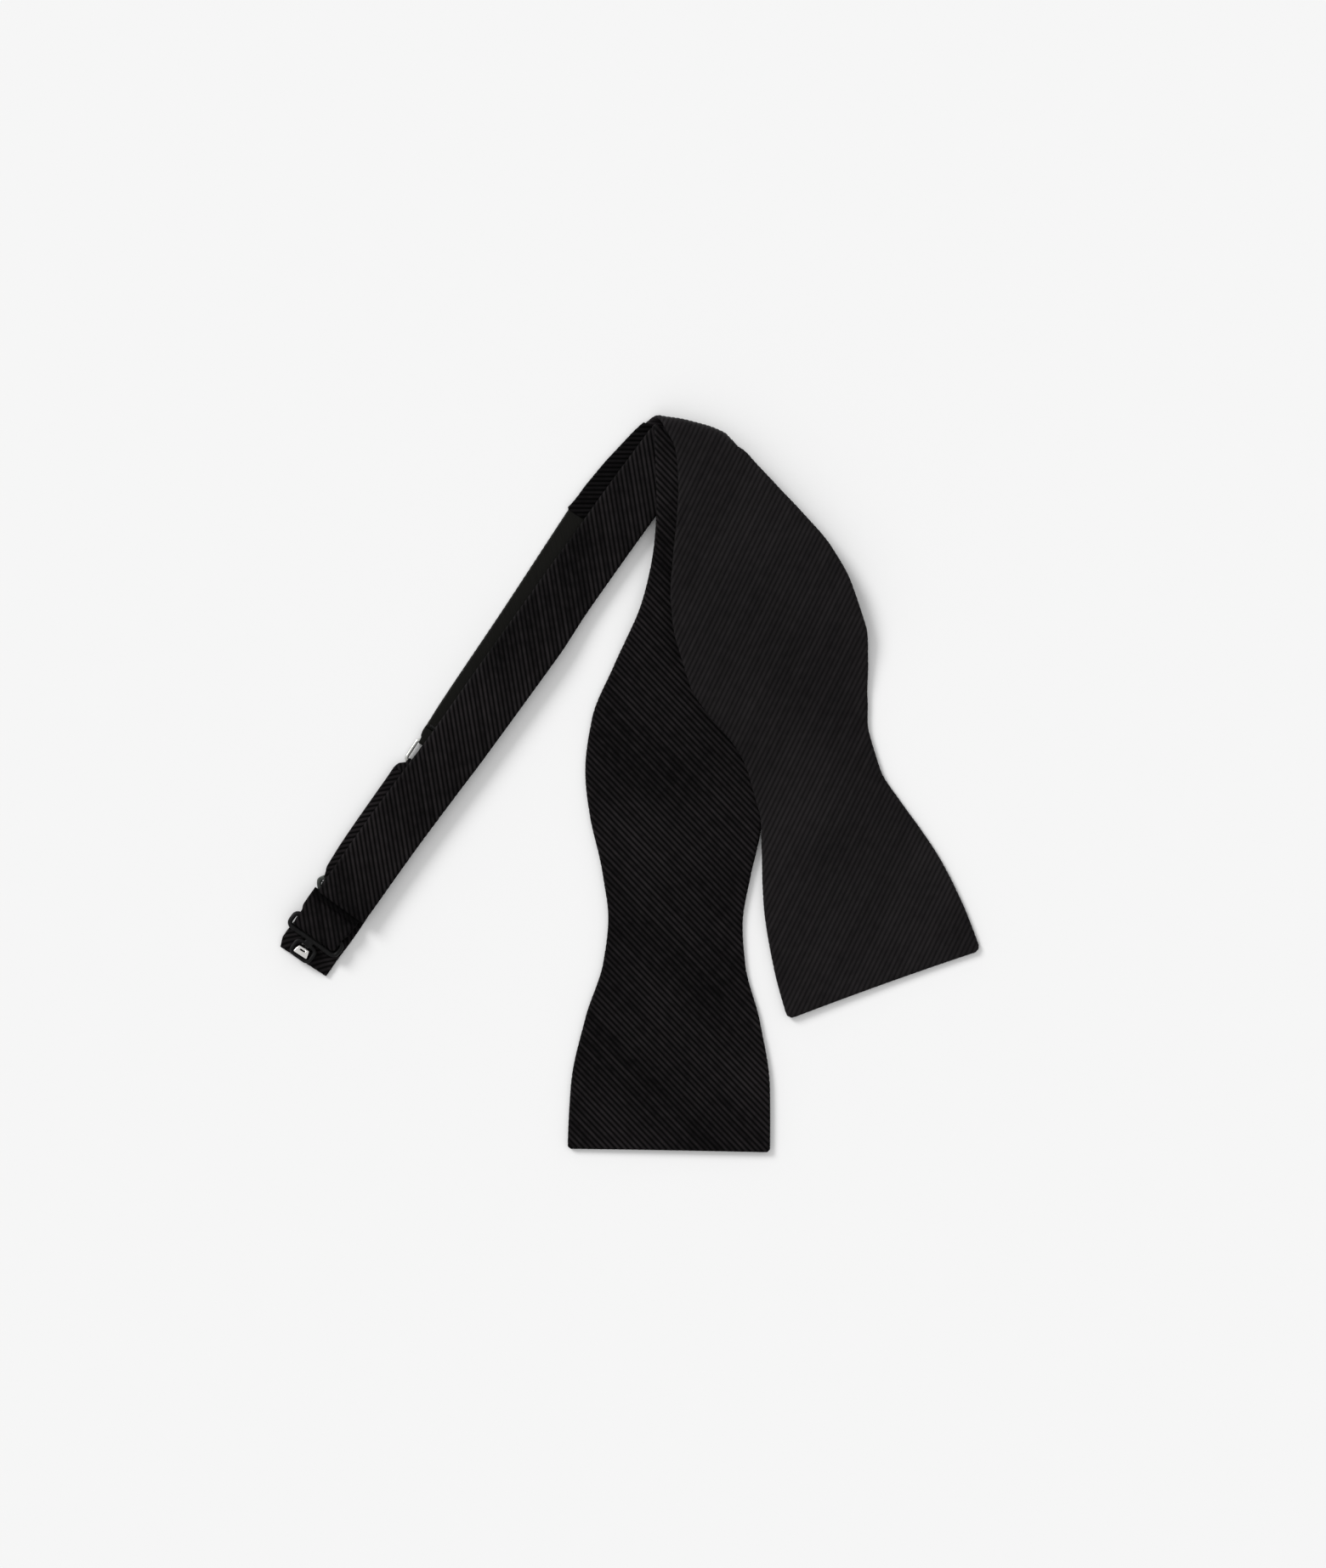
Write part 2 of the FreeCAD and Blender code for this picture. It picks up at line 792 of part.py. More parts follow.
def eye_wire():
    """A bent wire frame, a stem at its middle and the small loop that takes the hook."""
    wire = dim("eye_wire")
    high_bar, low_bar = dim("eye_top_bar"), dim("eye_low_bar")
    middle = (high_bar + low_bar) / 2
    half_long = (high_bar - low_bar) / 2
    half_wide = dim("eye_width") / 2 - wire / 2
    frame_wire = bent_wire(rounded_rectangle_path(half_long, half_wide, 1.6), wire)
    frame_wire.translate(V(middle, 0, 0))
    thin = dim("loop_wire")
    loop_half = (dim("loop_width") - thin) / 2
    loop_top = low_bar - 1.9
    loop_low = dim("loop_reach")
    loop_middle = (loop_top + loop_low) / 2
    loop = bent_wire(
        rounded_rectangle_path((loop_top - loop_low) / 2, loop_half, 1.5), thin
    )
    off_centre = dim("eye_aside") - dim("loop_aside")
    loop.translate(V(loop_middle, off_centre, 0))
    stem_corner = V(loop_top, off_centre - STEM_WIDTH / 2, -thin / 2)
    stem = Part.makeBox(low_bar - loop_top, STEM_WIDTH, thin, stem_corner)
    eye = doc.addObject("Part::Feature", "eye")
    eye.Shape = frame_wire.fuse([loop, stem]).removeSplitter()
    place = FreeCAD.Placement(V(0, -dim("eye_aside"), dim("eye_height")), FreeCAD.Rotation())
    return keep(eye, "eye", BAND * place)


eye_wire()


def hook():
    """A bent strip of metal: a base between the strap's layers and a tongue over it."""
    metal = dim("hook_metal")
    base = 2 * STRAP_FOLD_RADIUS + 0.02
    base_end = dim("hook_base_end")
    bend = dim("hook_bend")
    knee = dim("hook_knee_height")
    knee_lean = dim("hook_knee_lean")
    tip = dim("hook_tip_height")
    tip_end = bend - dim("tongue_length")
    body = new_body("hook")
    side = new_sketch(body, "XZ_Plane", "hook_side")
    closed_polyline(
        side,
        [
            (base_end, base),
            (base_end, base + metal),
            (bend, base + metal),
            (bend - knee_lean, base + knee),
            (tip_end, base + tip),
            (tip_end, base + tip - metal),
            (bend - metal - knee_lean, base + knee - metal),
            (bend - metal, base),
        ],
    )
    pad(body, side, dim("tongue_width"), midplane=True, cell="@tongue_width@")
    place = FreeCAD.Placement(V(0, -dim("hook_aside"), 0), FreeCAD.Rotation())
    return keep(body, "hook", STRAP * place)


hook()


# ---- Stitching: dense rows of thread that hold the folds shut ----


def bar_tack(label, placement, x, low, width, left=0.0):
    """A short raised bar of thread across a strip."""
    box = doc.addObject("Part::Box", f"{label}_box")
    box.Length = 1.2
    box.Width = width
    box.Height = 0.25
    shift = FreeCAD.Placement(V(x, left - width / 2, low), FreeCAD.Rotation())
    return keep(box, label, placement * shift)


bar_tack(
    "tape_bar_tack",
    TAPE,
    TAPE_TOP_BAR.x + TAPE_LOOP_REACH + 0.6,
    dim("tape_thickness"),
    dim("tape_width") - 1.0,
)
bar_tack("hook_bar_tack", STRAP, HOOK_FLAP_REACH - 1.0, 1.15, 9.0, -dim("hook_aside"))

# ---- Check everything, then write one file for each sub-part ----

doc.recompute()
for thing in doc.Objects:
    if "Invalid" in thing.State or "Error" in thing.State:
        raise RuntimeError(f"{thing.Name} failed: {thing.State}")
os.makedirs("parts", exist_ok=True)
for piece in subparts:
    shape = piece.Shape
    if shape.isNull() or not shape.isValid() or len(shape.Solids) != 1:
        raise RuntimeError(f"{piece.Label} is not one valid solid")
    shape.exportStep(f"parts/{piece.Label}.step")
    box = shape.BoundBox
    print(
        f"{piece.Label:28s} {shape.Volume:9.2f}  x {box.XMin:7.2f} {box.XMax:7.2f}"
        f"  y {box.YMin:7.2f} {box.YMax:7.2f}  z {box.ZMin:5.2f} {box.ZMax:5.2f}"
    )
print(len(subparts), "sub-parts")
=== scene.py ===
import bpy
import json
import math
import numpy as np
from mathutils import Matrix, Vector


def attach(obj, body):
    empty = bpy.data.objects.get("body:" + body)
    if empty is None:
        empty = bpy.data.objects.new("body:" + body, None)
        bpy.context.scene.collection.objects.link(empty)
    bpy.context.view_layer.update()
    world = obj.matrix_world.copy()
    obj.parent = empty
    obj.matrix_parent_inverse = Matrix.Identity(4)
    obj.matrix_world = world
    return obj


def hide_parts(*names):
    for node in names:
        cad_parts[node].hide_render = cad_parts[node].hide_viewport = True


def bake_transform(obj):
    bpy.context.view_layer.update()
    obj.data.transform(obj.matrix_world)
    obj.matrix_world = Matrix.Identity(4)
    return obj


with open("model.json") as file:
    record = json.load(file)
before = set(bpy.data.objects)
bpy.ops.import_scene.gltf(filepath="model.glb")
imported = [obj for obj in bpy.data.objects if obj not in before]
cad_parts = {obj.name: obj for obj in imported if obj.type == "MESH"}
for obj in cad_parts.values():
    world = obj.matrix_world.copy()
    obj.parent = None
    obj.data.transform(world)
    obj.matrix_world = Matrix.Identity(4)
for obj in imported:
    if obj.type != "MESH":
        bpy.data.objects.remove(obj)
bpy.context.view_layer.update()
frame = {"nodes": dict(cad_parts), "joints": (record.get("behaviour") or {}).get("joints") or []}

# A self-tie bow tie of ribbed black silk, untied, hooked closed and folded flat on a table.
# Shapes are worked out in millimetres in the frame of the CAD part, and written in metres.

MM = 0.001
PI = math.pi

# ---- Camera: straight down on the tie ----

VIEW_CENTRE = (10.51, 1.97)
VIEW_HEIGHT = 504.1
VIEW_LEVEL = 1.5
LENS = 85.0
SENSOR = 36.0
camera_data = bpy.data.cameras.new("camera")
camera_data.lens = LENS
camera_data.sensor_width = SENSOR
camera = bpy.data.objects.new("camera", camera_data)
bpy.context.scene.collection.objects.link(camera)
camera.location = Vector((*VIEW_CENTRE, VIEW_HEIGHT * LENS / SENSOR + VIEW_LEVEL)) * MM
bpy.context.scene.camera = camera
bpy.context.scene.view_settings.view_transform = "Standard"

# ---- Small mathematics ----


def smooth(x, low, high):
    """0 below low, 1 above high and an even turn between them."""
    t = np.clip((x - low) / (high - low), 0.0, 1.0)
    return t * t * (3 - 2 * t)


def curve(points):
    """A smooth function through (x, value) points, flat outside them."""
    xs, ys = np.array(points, float).T
    rates = np.diff(ys) / np.diff(xs)
    slopes = np.zeros(len(xs))
    product = rates[1:] * rates[:-1]
    same_way = product > 0
    total = np.where(same_way, rates[1:] + rates[:-1], 1)
    slopes[1:-1] = np.where(same_way, 2 * product / total, 0)

    def value(x):
        x = np.clip(x, xs[0], xs[-1])
        i = np.clip(np.searchsorted(xs, x) - 1, 0, len(xs) - 2)
        step = xs[i + 1] - xs[i]
        t = (x - xs[i]) / step
        return (
            (2 * t**3 - 3 * t**2 + 1) * ys[i]
            + (t**3 - 2 * t**2 + t) * step * slopes[i]
            + (3 * t**2 - 2 * t**3) * ys[i + 1]
            + (t**3 - t**2) * step * slopes[i + 1]
        )

    return value


def heading(degrees):
    """The unit vector at an angle in the plane of the table."""
    return np.array([math.cos(math.radians(degrees)), math.sin(math.radians(degrees))])


class Strip:
    """A flat frame on the table: along runs from the origin, left is to its left."""

    def __init__(self, origin, degrees):
        self.origin = np.array(origin[:2], float)
        self.angle = degrees
        self.along = heading(degrees)
        self.left = heading(degrees + 90)

    def plan(self, s, v):
        return (
            self.origin[0] + s * self.along[0] + v * self.left[0],
            self.origin[1] + s * self.along[1] + v * self.left[1],
        )

    def local(self, point):
        gap = np.array(point[:2], float) - self.origin
        return gap @ self.along, gap @ self.left


def toward(start, end):
    """The strip frame that starts at one point and runs at another."""
    gap = np.array(end[:2], float) - np.array(start[:2], float)
    return Strip(start, math.degrees(math.atan2(gap[1], gap[0])))


# ---- Places, from the CAD's joints and its own frames ----

JOINTS = {joint["name"]: joint for joint in frame["joints"]}
REAR_FOLD = np.array(JOINTS["right_blade_fold"]["pos_m"]) / MM
FRONT_FOLD = np.array(JOINTS["left_blade_fold"]["pos_m"]) / MM
FOLD_HEIGHT = REAR_FOLD[2]
REAR_FOLD_ANGLE, REAR_RADIUS = -15.5, 2.7
FRONT_FOLD_ANGLE, FRONT_RADIUS = -16.5, 0.9
LEFT_END = (12.56, -115.89)
RIGHT_END = (81.71, -62.69)

BAND = Strip((-42.95, 32.42), 54.35)
# Distances up the neckband from its middle: the strap's fold, the slider, the return's start.
STRAP_START, SLIDER_PLACE, RETURN_PLACE = -107.0, -82.5, -81.0


def on_band(along, aside):
    """A place by its distance up the neckband and to the right of it."""
    return np.array(BAND.plan(along, -aside))


SEAM = on_band(60.7, -7.7)
TAPE = toward(on_band(-24.0, -4.3), SEAM)
RING = Strip(on_band(-31.2, -3.6), TAPE.angle)
STRAP = toward(on_band(STRAP_START, 0.0), RING.origin)
LEFT = toward(FRONT_FOLD, LEFT_END)
RIGHT = toward(REAR_FOLD, RIGHT_END)

# ---- Materials ----


class Shader:
    """A material's node tree, with short calls for the nodes that the cloths share."""

    def __init__(self, name, **values):
        self.material = bpy.data.materials.new(name)
        self.material.use_nodes = True
        self.tree = self.material.node_tree
        self.surface = self.tree.nodes["Principled BSDF"]
        for socket, value in values.items():
            self.surface.inputs[socket].default_value = value

    def node(self, kind, **settings):
        made = self.tree.nodes.new(f"ShaderNode{kind}")
        for name, value in settings.items():
            setattr(made, name, value)
        return made

    def link(self, source, target):
        self.tree.links.new(source, target)

    def math(self, operation, first, second=0.0):
        made = self.node("Math", operation=operation)
        for socket, value in zip(made.inputs, (first, second)):
            if isinstance(value, (int, float)):
                socket.default_value = value
            else:
                self.link(value, socket)
        return made.outputs[0]

    def ramp(self, factor, stops):
        made = self.node("ValToRGB")
        ramp = made.color_ramp
        while len(ramp.elements) < len(stops):
            ramp.elements.new(0.5)
        for element, (position, colour) in zip(ramp.elements, stops):
            element.position = position
            element.color = (*colour, 1.0)
        self.link(factor, made.inputs["Fac"])
        return made.outputs["Color"]

    def spread(self, factor, low, high):
        """A value from 0 to 1 stretched to run from low to high."""
        made = self.node("MapRange")
        made.inputs["To Min"].default_value = low
        made.inputs["To Max"].default_value = high
        self.link(factor, made.inputs["Value"])
        return made.outputs["Result"]

    def noise(self, vector, scale, detail=2.0, rough=0.5):
        made = self.node("TexNoise")
        made.inputs["Scale"].default_value = scale
        made.inputs["Detail"].default_value = detail
        made.inputs["Roughness"].default_value = rough
        self.link(vector, made.inputs["Vector"])
        return made.outputs["Fac"]

    def bump(self, height, distance, strength=1.0, under=None):
        made = self.node("Bump")
        made.inputs["Distance"].default_value = distance
        made.inputs["Strength"].default_value = strength
        self.link(height, made.inputs["Height"])
        if under is not None:
            self.link(under, made.inputs["Normal"])
        return made.outputs["Normal"]

    def weave_axes(self):
        """The cloth's own millimetres: along the ribs and across them."""
        uv = self.node("UVMap", uv_map="weave")
        parts = self.node("SeparateXYZ")
        self.link(uv.outputs["UV"], parts.inputs[0])
        return uv.outputs["UV"], parts.outputs["X"], parts.outputs["Y"]

    def place(self):
        return self.node("TexCoord").outputs["Object"]


# The distance from rib to rib, and from thread to thread of each weave.
RIB = 1.45
SILK_THREAD, SATIN_THREAD, CANVAS_YARN = 0.22, 0.3, 0.7
DIAGONAL = math.sqrt(0.5)


def silk(name, dark, light, roughness, specular, valley, sheen=0.012, dark_end=0.0):
    """Corded silk: fine threads wrapped over each rib, each rib a little unlike the next.

    valley is how dark the hollow between two ribs is, as a share of the rib's own colour: painted
    shade in the hollows, with lighter painted crowns.
    dark_end is how far a strip's outer face is darkened from its start, in millimetres: painted
    shade where the strip dips into a hollow.
    """
    shader = Shader(name, Roughness=roughness)
    surface = shader.surface.inputs
    surface["Specular IOR Level"].default_value = specular
    surface["Sheen Weight"].default_value = sheen
    surface["Sheen Roughness"].default_value = 0.45
    uv, along, across = shader.weave_axes()
    rib = shader.math("FLOOR", shader.math("DIVIDE", across, RIB))
    tone = shader.node("TexWhiteNoise", noise_dimensions="1D")
    shader.link(rib, tone.inputs["W"])
    slub = shader.noise(uv, 0.35, 3.0)
    broad = shader.noise(shader.place(), 28.0, 2.0)
    mixed = shader.math(
        "ADD",
        shader.math("MULTIPLY", tone.outputs["Value"], 0.12),
        shader.math(
            "ADD", shader.math("MULTIPLY", slub, 0.38), shader.math("MULTIPLY", broad, 0.5)
        ),
    )
    # Painted shade and painted light: the colour sinks in each hollow between two ribs and rises
    # on each crown, standing in for the light on the cords.
    wave = shader.math("SINE", shader.math("MULTIPLY", across, PI / RIB))
    crown = shader.math("ABSOLUTE", wave)
    depth = shader.spread(shader.math("POWER", crown, 1.8), valley, 1.5 - 0.5 * valley)
    # Painted shade: the outer face darkens towards the strip's start, standing in for the shadow
    # inside the band's mouth.
    if dark_end:
        share = shader.math("MULTIPLY", shader.math("ADD", along, across), DIAGONAL / dark_end)
        shade = shader.spread(shader.math("POWER", share, 3.0), 0.12, 1.0)
        depth = shader.math("MULTIPLY", depth, shade)
    tinted = shader.node("VectorMath", operation="SCALE")
    shader.link(shader.ramp(mixed, [(0.35, dark), (0.65, light)]), tinted.inputs[0])
    shader.link(depth, tinted.inputs["Scale"])
    shader.link(tinted.outputs[0], surface["Base Color"])
    shader.link(
        shader.spread(shader.noise(uv, 1.7), roughness - 0.06, roughness + 0.06),
        surface["Roughness"],
    )
    thread = shader.math("SINE", shader.math("MULTIPLY", along, 2 * PI / SILK_THREAD))
    skew = shader.noise(uv, 4.5, 3.0, 0.6)
    threads = shader.bump(thread, 0.00002, 0.55)
    shader.link(shader.bump(skew, 0.00008, 0.6, threads), surface["Normal"])
    return shader.material


def satin_cloth(name, dark, light, roughness, specular):
    """Smooth satin: long floats along the strip and a faint cross weave."""
    shader = Shader(name, Roughness=roughness)
    surface = shader.surface.inputs
    surface["Specular IOR Level"].default_value = specular
    uv, along, _ = shader.weave_axes()
    streak = shader.node("Mapping")
    streak.inputs["Scale"].default_value = (0.12, 3.0, 1.0)
    shader.link(uv, streak.inputs["Vector"])
    floats = shader.noise(streak.outputs["Vector"], 1.0, 4.0, 0.6)
    shader.link(shader.ramp(floats, [(0.3, dark), (0.7, light)]), surface["Base Color"])
    shader.link(
        shader.spread(floats, roughness - 0.05, roughness + 0.08), surface["Roughness"]
    )
    weft = shader.math("SINE", shader.math("MULTIPLY", along, 2 * PI / SATIN_THREAD))
    first = shader.bump(weft, 0.00001, 0.5)
    shader.link(shader.bump(floats, 0.00005, 0.5, first), surface["Normal"])
    return shader.material


def canvas(name):
    """Wool interlining: a plain open weave of pale yarns."""
    shader = Shader(name, Roughness=0.9)
    surface = shader.surface.inputs
    surface["Specular IOR Level"].default_value = 0.2
    uv, along, across = shader.weave_axes()
    warp = shader.math("SINE", shader.math("MULTIPLY", along, 2 * PI / CANVAS_YARN))
    weft = shader.math("SINE", shader.math("MULTIPLY", across, 2 * PI / CANVAS_YARN))
    check = shader.math("MULTIPLY", warp, weft)
    fluff = shader.noise(uv, 2.2, 4.0, 0.6)
    level = shader.math("ADD", shader.math("MULTIPLY", check, 0.25), fluff)
    shader.link(
        shader.ramp(level, [(0.2, (0.42, 0.38, 0.31)), (0.8, (0.62, 0.58, 0.5))]),
        surface["Base Color"],
    )
    shader.link(shader.bump(level, 0.00012, 0.7), surface["Normal"])
    return shader.material


def metal(name, colour, worn, roughness, metallic=1.0, specular=0.5):
    """Metal or enamel with a rubbed, faintly scratched surface."""
    shader = Shader(name, Roughness=roughness, Metallic=metallic)
    surface = shader.surface.inputs
    surface["Specular IOR Level"].default_value = specular
    place = shader.place()
    rub = shader.noise(place, 420.0, 4.0, 0.6)
    stretch = shader.node("Mapping")
    stretch.inputs["Scale"].default_value = (1.0, 9.0, 1.0)
    stretch.inputs["Rotation"].default_value = (0.0, 0.0, 0.6)
    shader.link(place, stretch.inputs["Vector"])
    scratch = shader.noise(stretch.outputs["Vector"], 1600.0, 3.0, 0.7)
    shader.link(shader.ramp(rub, [(0.4, colour), (0.75, worn)]), surface["Base Color"])
    shader.link(
        shader.spread(scratch, roughness - 0.08, roughness + 0.14), surface["Roughness"]
    )
    shader.link(shader.bump(scratch, 0.00002, 0.35), surface["Normal"])
    return shader.material


BLACK_SILK = ((0.0024, 0.002, 0.0022), (0.0112, 0.0097, 0.0103), 0.5, 0.03, 0.0)
# A darker copy of the black silk: painted shade on the rear band, which lies under the stack.
PAINTED_SHADE_BLACK = ((0.0011, 0.0009, 0.001), (0.0044, 0.0039, 0.0042), 0.5, 0.02, 0.0)
# A lighter copy of the black silk with paler rib hollows: painted light on the right blade, where
# the light falls more strongly on its ribs.
PAINTED_LIGHT_BLACK = ((0.0058, 0.005, 0.0054), (0.0116, 0.0102, 0.0108), 0.5, 0.04, 0.5)
SILK = silk("ribbed_silk", *BLACK_SILK)
PAINTED_SHADE_SILK = silk("ribbed_silk_painted_shade", *PAINTED_SHADE_BLACK)
PAINTED_LIGHT_SILK = silk("ribbed_silk_painted_light", *PAINTED_LIGHT_BLACK, sheen=0.03)
# The tab's copy of the silk, with painted shade where it dips into the band's mouth.
TAB_SILK_PAINTED_SHADE = silk("ribbed_silk_tab_painted_shade", *BLACK_SILK, dark_end=3.6)

MATERIALS = {
    "ribbed_silk": SILK,
    "interlining": canvas("interlining"),
    "satin": satin_cloth("satin", (0.0042, 0.0041, 0.0035), (0.0074, 0.0072, 0.0062), 0.42, 0.05),
    "thread": satin_cloth("thread", (0.004, 0.004, 0.004), (0.012, 0.011, 0.011), 0.5, 0.25),
    "pale_metal": metal("pale_metal", (0.42, 0.42, 0.4), (0.6, 0.6, 0.58), 0.28),
    "dark_metal": metal("dark_metal", (0.03, 0.034, 0.031), (0.07, 0.078, 0.07), 0.4, 0.6),
    "nickel": metal("nickel", (0.72, 0.71, 0.69), (0.85, 0.84, 0.82), 0.2),
    "black_enamel": metal(
        "black_enamel", (0.003, 0.003, 0.0031), (0.008, 0.008, 0.008), 0.42, 0.0, 0.1
    ),
}

# ---- Meshes ----


def make_object(name, points, faces, slot, uvs=None):
    """A smooth-shaded mesh from points in millimetres, with its material and slot."""
    mesh = bpy.data.meshes.new(name)
    mesh.from_pydata((np.asarray(points) * MM).tolist(), [], faces)
    mesh.polygons.foreach_set("use_smooth", np.ones(len(mesh.polygons), bool))
    if uvs is not None:
        layer = mesh.uv_layers.new(name="weave")
        corner = np.empty(len(mesh.loops), np.int32)
        mesh.loops.foreach_get("vertex_index", corner)
        layer.data.foreach_set("uv", np.asarray(uvs, np.float32)[corner].ravel())
    mesh.materials.append(MATERIALS[slot])
    mesh.update()
    obj = bpy.data.objects.new(name, mesh)
    bpy.context.scene.collection.objects.link(obj)
    return obj


def grid_faces(rows, columns, first=0, flip=False):
    """The quads of a rows by columns grid of points."""
    r, c = np.meshgrid(np.arange(rows - 1), np.arange(columns - 1), indexing="ij")
    a = (first + r * columns + c).ravel()
    quads = np.stack([a, a + 1, a + columns + 1, a + columns], 1)
    return (quads[:, ::-1] if flip else quads).tolist()


def closed_grid_faces(rows, columns):
    """A closed shell: one grid, a second one under it and four walls between them."""
    under = rows * columns
    faces = grid_faces(rows, columns, 0) + grid_faces(rows, columns, under, True)
    ring = (
        list(range(columns))
        + [r * columns + columns - 1 for r in range(1, rows)]
        + [(rows - 1) * columns + c for c in range(columns - 2, -1, -1)]
        + [r * columns for r in range(rows - 2, 0, -1)]
    )
    for here, after in zip(ring, ring[1:] + ring[:1]):
        faces.append([after, here, here + under, after + under])
    return faces


def rib_height(across, depth):
    """A cord's rounded section: broad on top, with a narrow valley each side."""
    return depth * np.abs(np.sin(PI * across / RIB)) ** 0.6


class Cloth:
    """The grid of a flat piece of cloth: each row runs along the ribs from edge to edge."""

    SCAN_STEPS = 1600
    SHORTEST_ROW = 0.05

    def __init__(self, outline, span, rib_angle, columns, samples=6, serration=0.16):
        self.outline = outline
        ribs, cross = heading(rib_angle), heading(rib_angle + 90)
        low_s, high_s, half_v = span
        corners = np.array([(s, v) for s in (low_s, high_s) for v in (-half_v, half_v)])
        step = RIB / samples
        first = math.floor((corners @ cross).min() / step)
        last = math.ceil((corners @ cross).max() / step)
        across = np.arange(first, last + 1) * step
        reach = np.linspace((corners @ ribs).min(), (corners @ ribs).max(), self.SCAN_STEPS)
        s = across[:, None] * cross[0] + reach[None, :] * ribs[0]
        v = across[:, None] * cross[1] + reach[None, :] * ribs[1]
        inside = outline(s, v)[0]
        kept = (inside > 0).any(1)
        across, inside = across[kept], inside[kept]
        begin, end = self.crossings(inside, reach)
        long_enough = end - begin > self.SHORTEST_ROW
        across, begin, end = across[long_enough], begin[long_enough], end[long_enough]
        bulge = serration * (np.abs(np.sin(PI * across / RIB)) ** 0.7 - 0.5)
        begin, end = begin - bulge, np.maximum(end + bulge, begin + 0.06)
        share = (1 - np.cos(PI * np.arange(columns) / (columns - 1))) / 2
        self.t = begin[:, None] + (end - begin)[:, None] * share[None, :]
        self.p = np.repeat(across[:, None], columns, 1)
        self.s = self.p * cross[0] + self.t * ribs[0]
        self.v = self.p * cross[1] + self.t * ribs[1]
        self.edge = np.maximum(outline(self.s, self.v)[1], 0.0)
        self.shape = self.s.shape

    @staticmethod
    def crossings(inside, reach):
        """Where each row enters and leaves the outline."""
        within = inside > 0
        rows = np.arange(len(inside))
        enter = within.argmax(1)
        leave = inside.shape[1] - 1 - within[:, ::-1].argmax(1)

        def cut(outer, inner):
            outer = np.clip(outer, 0, len(reach) - 1)
            a, b = inside[rows, outer], inside[rows, inner]
            share = np.where(b - a > 1e-9, -a / np.maximum(b - a, 1e-9), 0.0)
            return reach[outer] + (reach[inner] - reach[outer]) * np.clip(share, 0, 1)

        return cut(enter - 1, enter), cut(leave + 1, leave)

    def build(self, name, place, upper, lower, slot):
        """The closed shell between two heights, laid where place puts it."""
        points = []
        for height in (upper, lower):
            x, y, z = place(self.s, self.v, height)
            points.append(np.stack([x, y, z], -1).reshape(-1, 3))
        uv = np.stack([self.t, self.p], -1).reshape(-1, 2)
        faces = closed_grid_faces(*self.shape)
        obj = make_object(name, np.concatenate(points), faces, slot, np.tile(uv, (2, 1)))
        face_outward(obj)
        return obj


def face_outward(obj):
    """Turn every face outward when the closed mesh came out inside out."""
    mesh = obj.data
    co = np.empty(len(mesh.vertices) * 3)
    mesh.vertices.foreach_get("co", co)
    co = co.reshape(-1, 3)
    mesh.calc_loop_triangles()
    tri = np.empty(len(mesh.loop_triangles) * 3, np.int32)
    mesh.loop_triangles.foreach_get("vertices", tri)
    a, b, c = (co[tri.reshape(-1, 3)[:, k]] for k in range(3))
    if np.einsum("ij,ij->i", a, np.cross(b, c)).sum() < 0:
        mesh.flip_normals()


EDGE_ROUND = 0.85
HALF_THICK = 0.65
SKIN_OUTER, SKIN_INNER = 0.08, 0.03
LINING_INSET = 1.2


def roundness(edge, radius=EDGE_ROUND):
    """0 at a piece's edge, rising to 1 at the radius as a quarter circle does."""
    near = np.clip(edge / radius, 0.0, 1.0)
    return np.sqrt(1 - (1 - near) ** 2)


NO_LIMIT = -99.0


def lined_strip(
    prefix,
    names,
    outline,
    span,
    columns,
    place,
    hand,
    depth,
    finish,
    lining_start=NO_LIMIT,
):
    """A lower cloth, an interlining and an upper cloth, each its own closed piece.

    hand is 1 where the ribs seen from outside lean to the left of the strip and -1
    where they lean to the right, and depth is the height of the ribs. span is the
    strip's first and last place along it and half the width that holds it.
    """
    made = []
    for side, name in ((-1, names[0]), (1, names[1])):
        cloth = Cloth(outline, span, 45.0 * hand * side, columns)
        rise = roundness(cloth.edge)
        ribs = rib_height(cloth.p, depth) * (0.35 + 0.65 * rise)
        outer = SKIN_OUTER + (HALF_THICK - depth) * rise + ribs
        inner = SKIN_INNER + 0.2 * rise
        upper, lower = (outer, inner) if side > 0 else (-inner, -outer)
        label = f"{prefix}_{name}"
        obj = cloth.build(f"{label}_silk", place, upper, lower, "ribbed_silk")
        obj.data.materials[0] = finish
        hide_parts(label)
        made.append(obj)

    def inset(s, v):
        inside, edge = outline(s, v)
        within = np.minimum(inside - 0.05, edge - LINING_INSET)
        return np.minimum(within, s - lining_start), edge

    lining = Cloth(inset, span, 45.0, columns, samples=2, serration=0.0)
    level = SKIN_INNER + 0.14 * roundness(np.maximum(lining.edge - LINING_INSET, 0.0), 0.4)
    label = f"{prefix}_interlining"
    obj = lining.build(f"{label}_canvas", place, level, -level, "interlining")
    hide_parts(label)
    made.append(obj)
    return made


def rounded_corner(side, end, radius):
    """The distance to the edge of a corner between a side and an end."""
    short_side = np.maximum(radius - side, 0.0)
    short_end = np.maximum(radius - end, 0.0)
    both = (short_side > 0) & (short_end > 0)
    return np.where(both, radius - np.hypot(short_side, short_end), np.minimum(side, end))


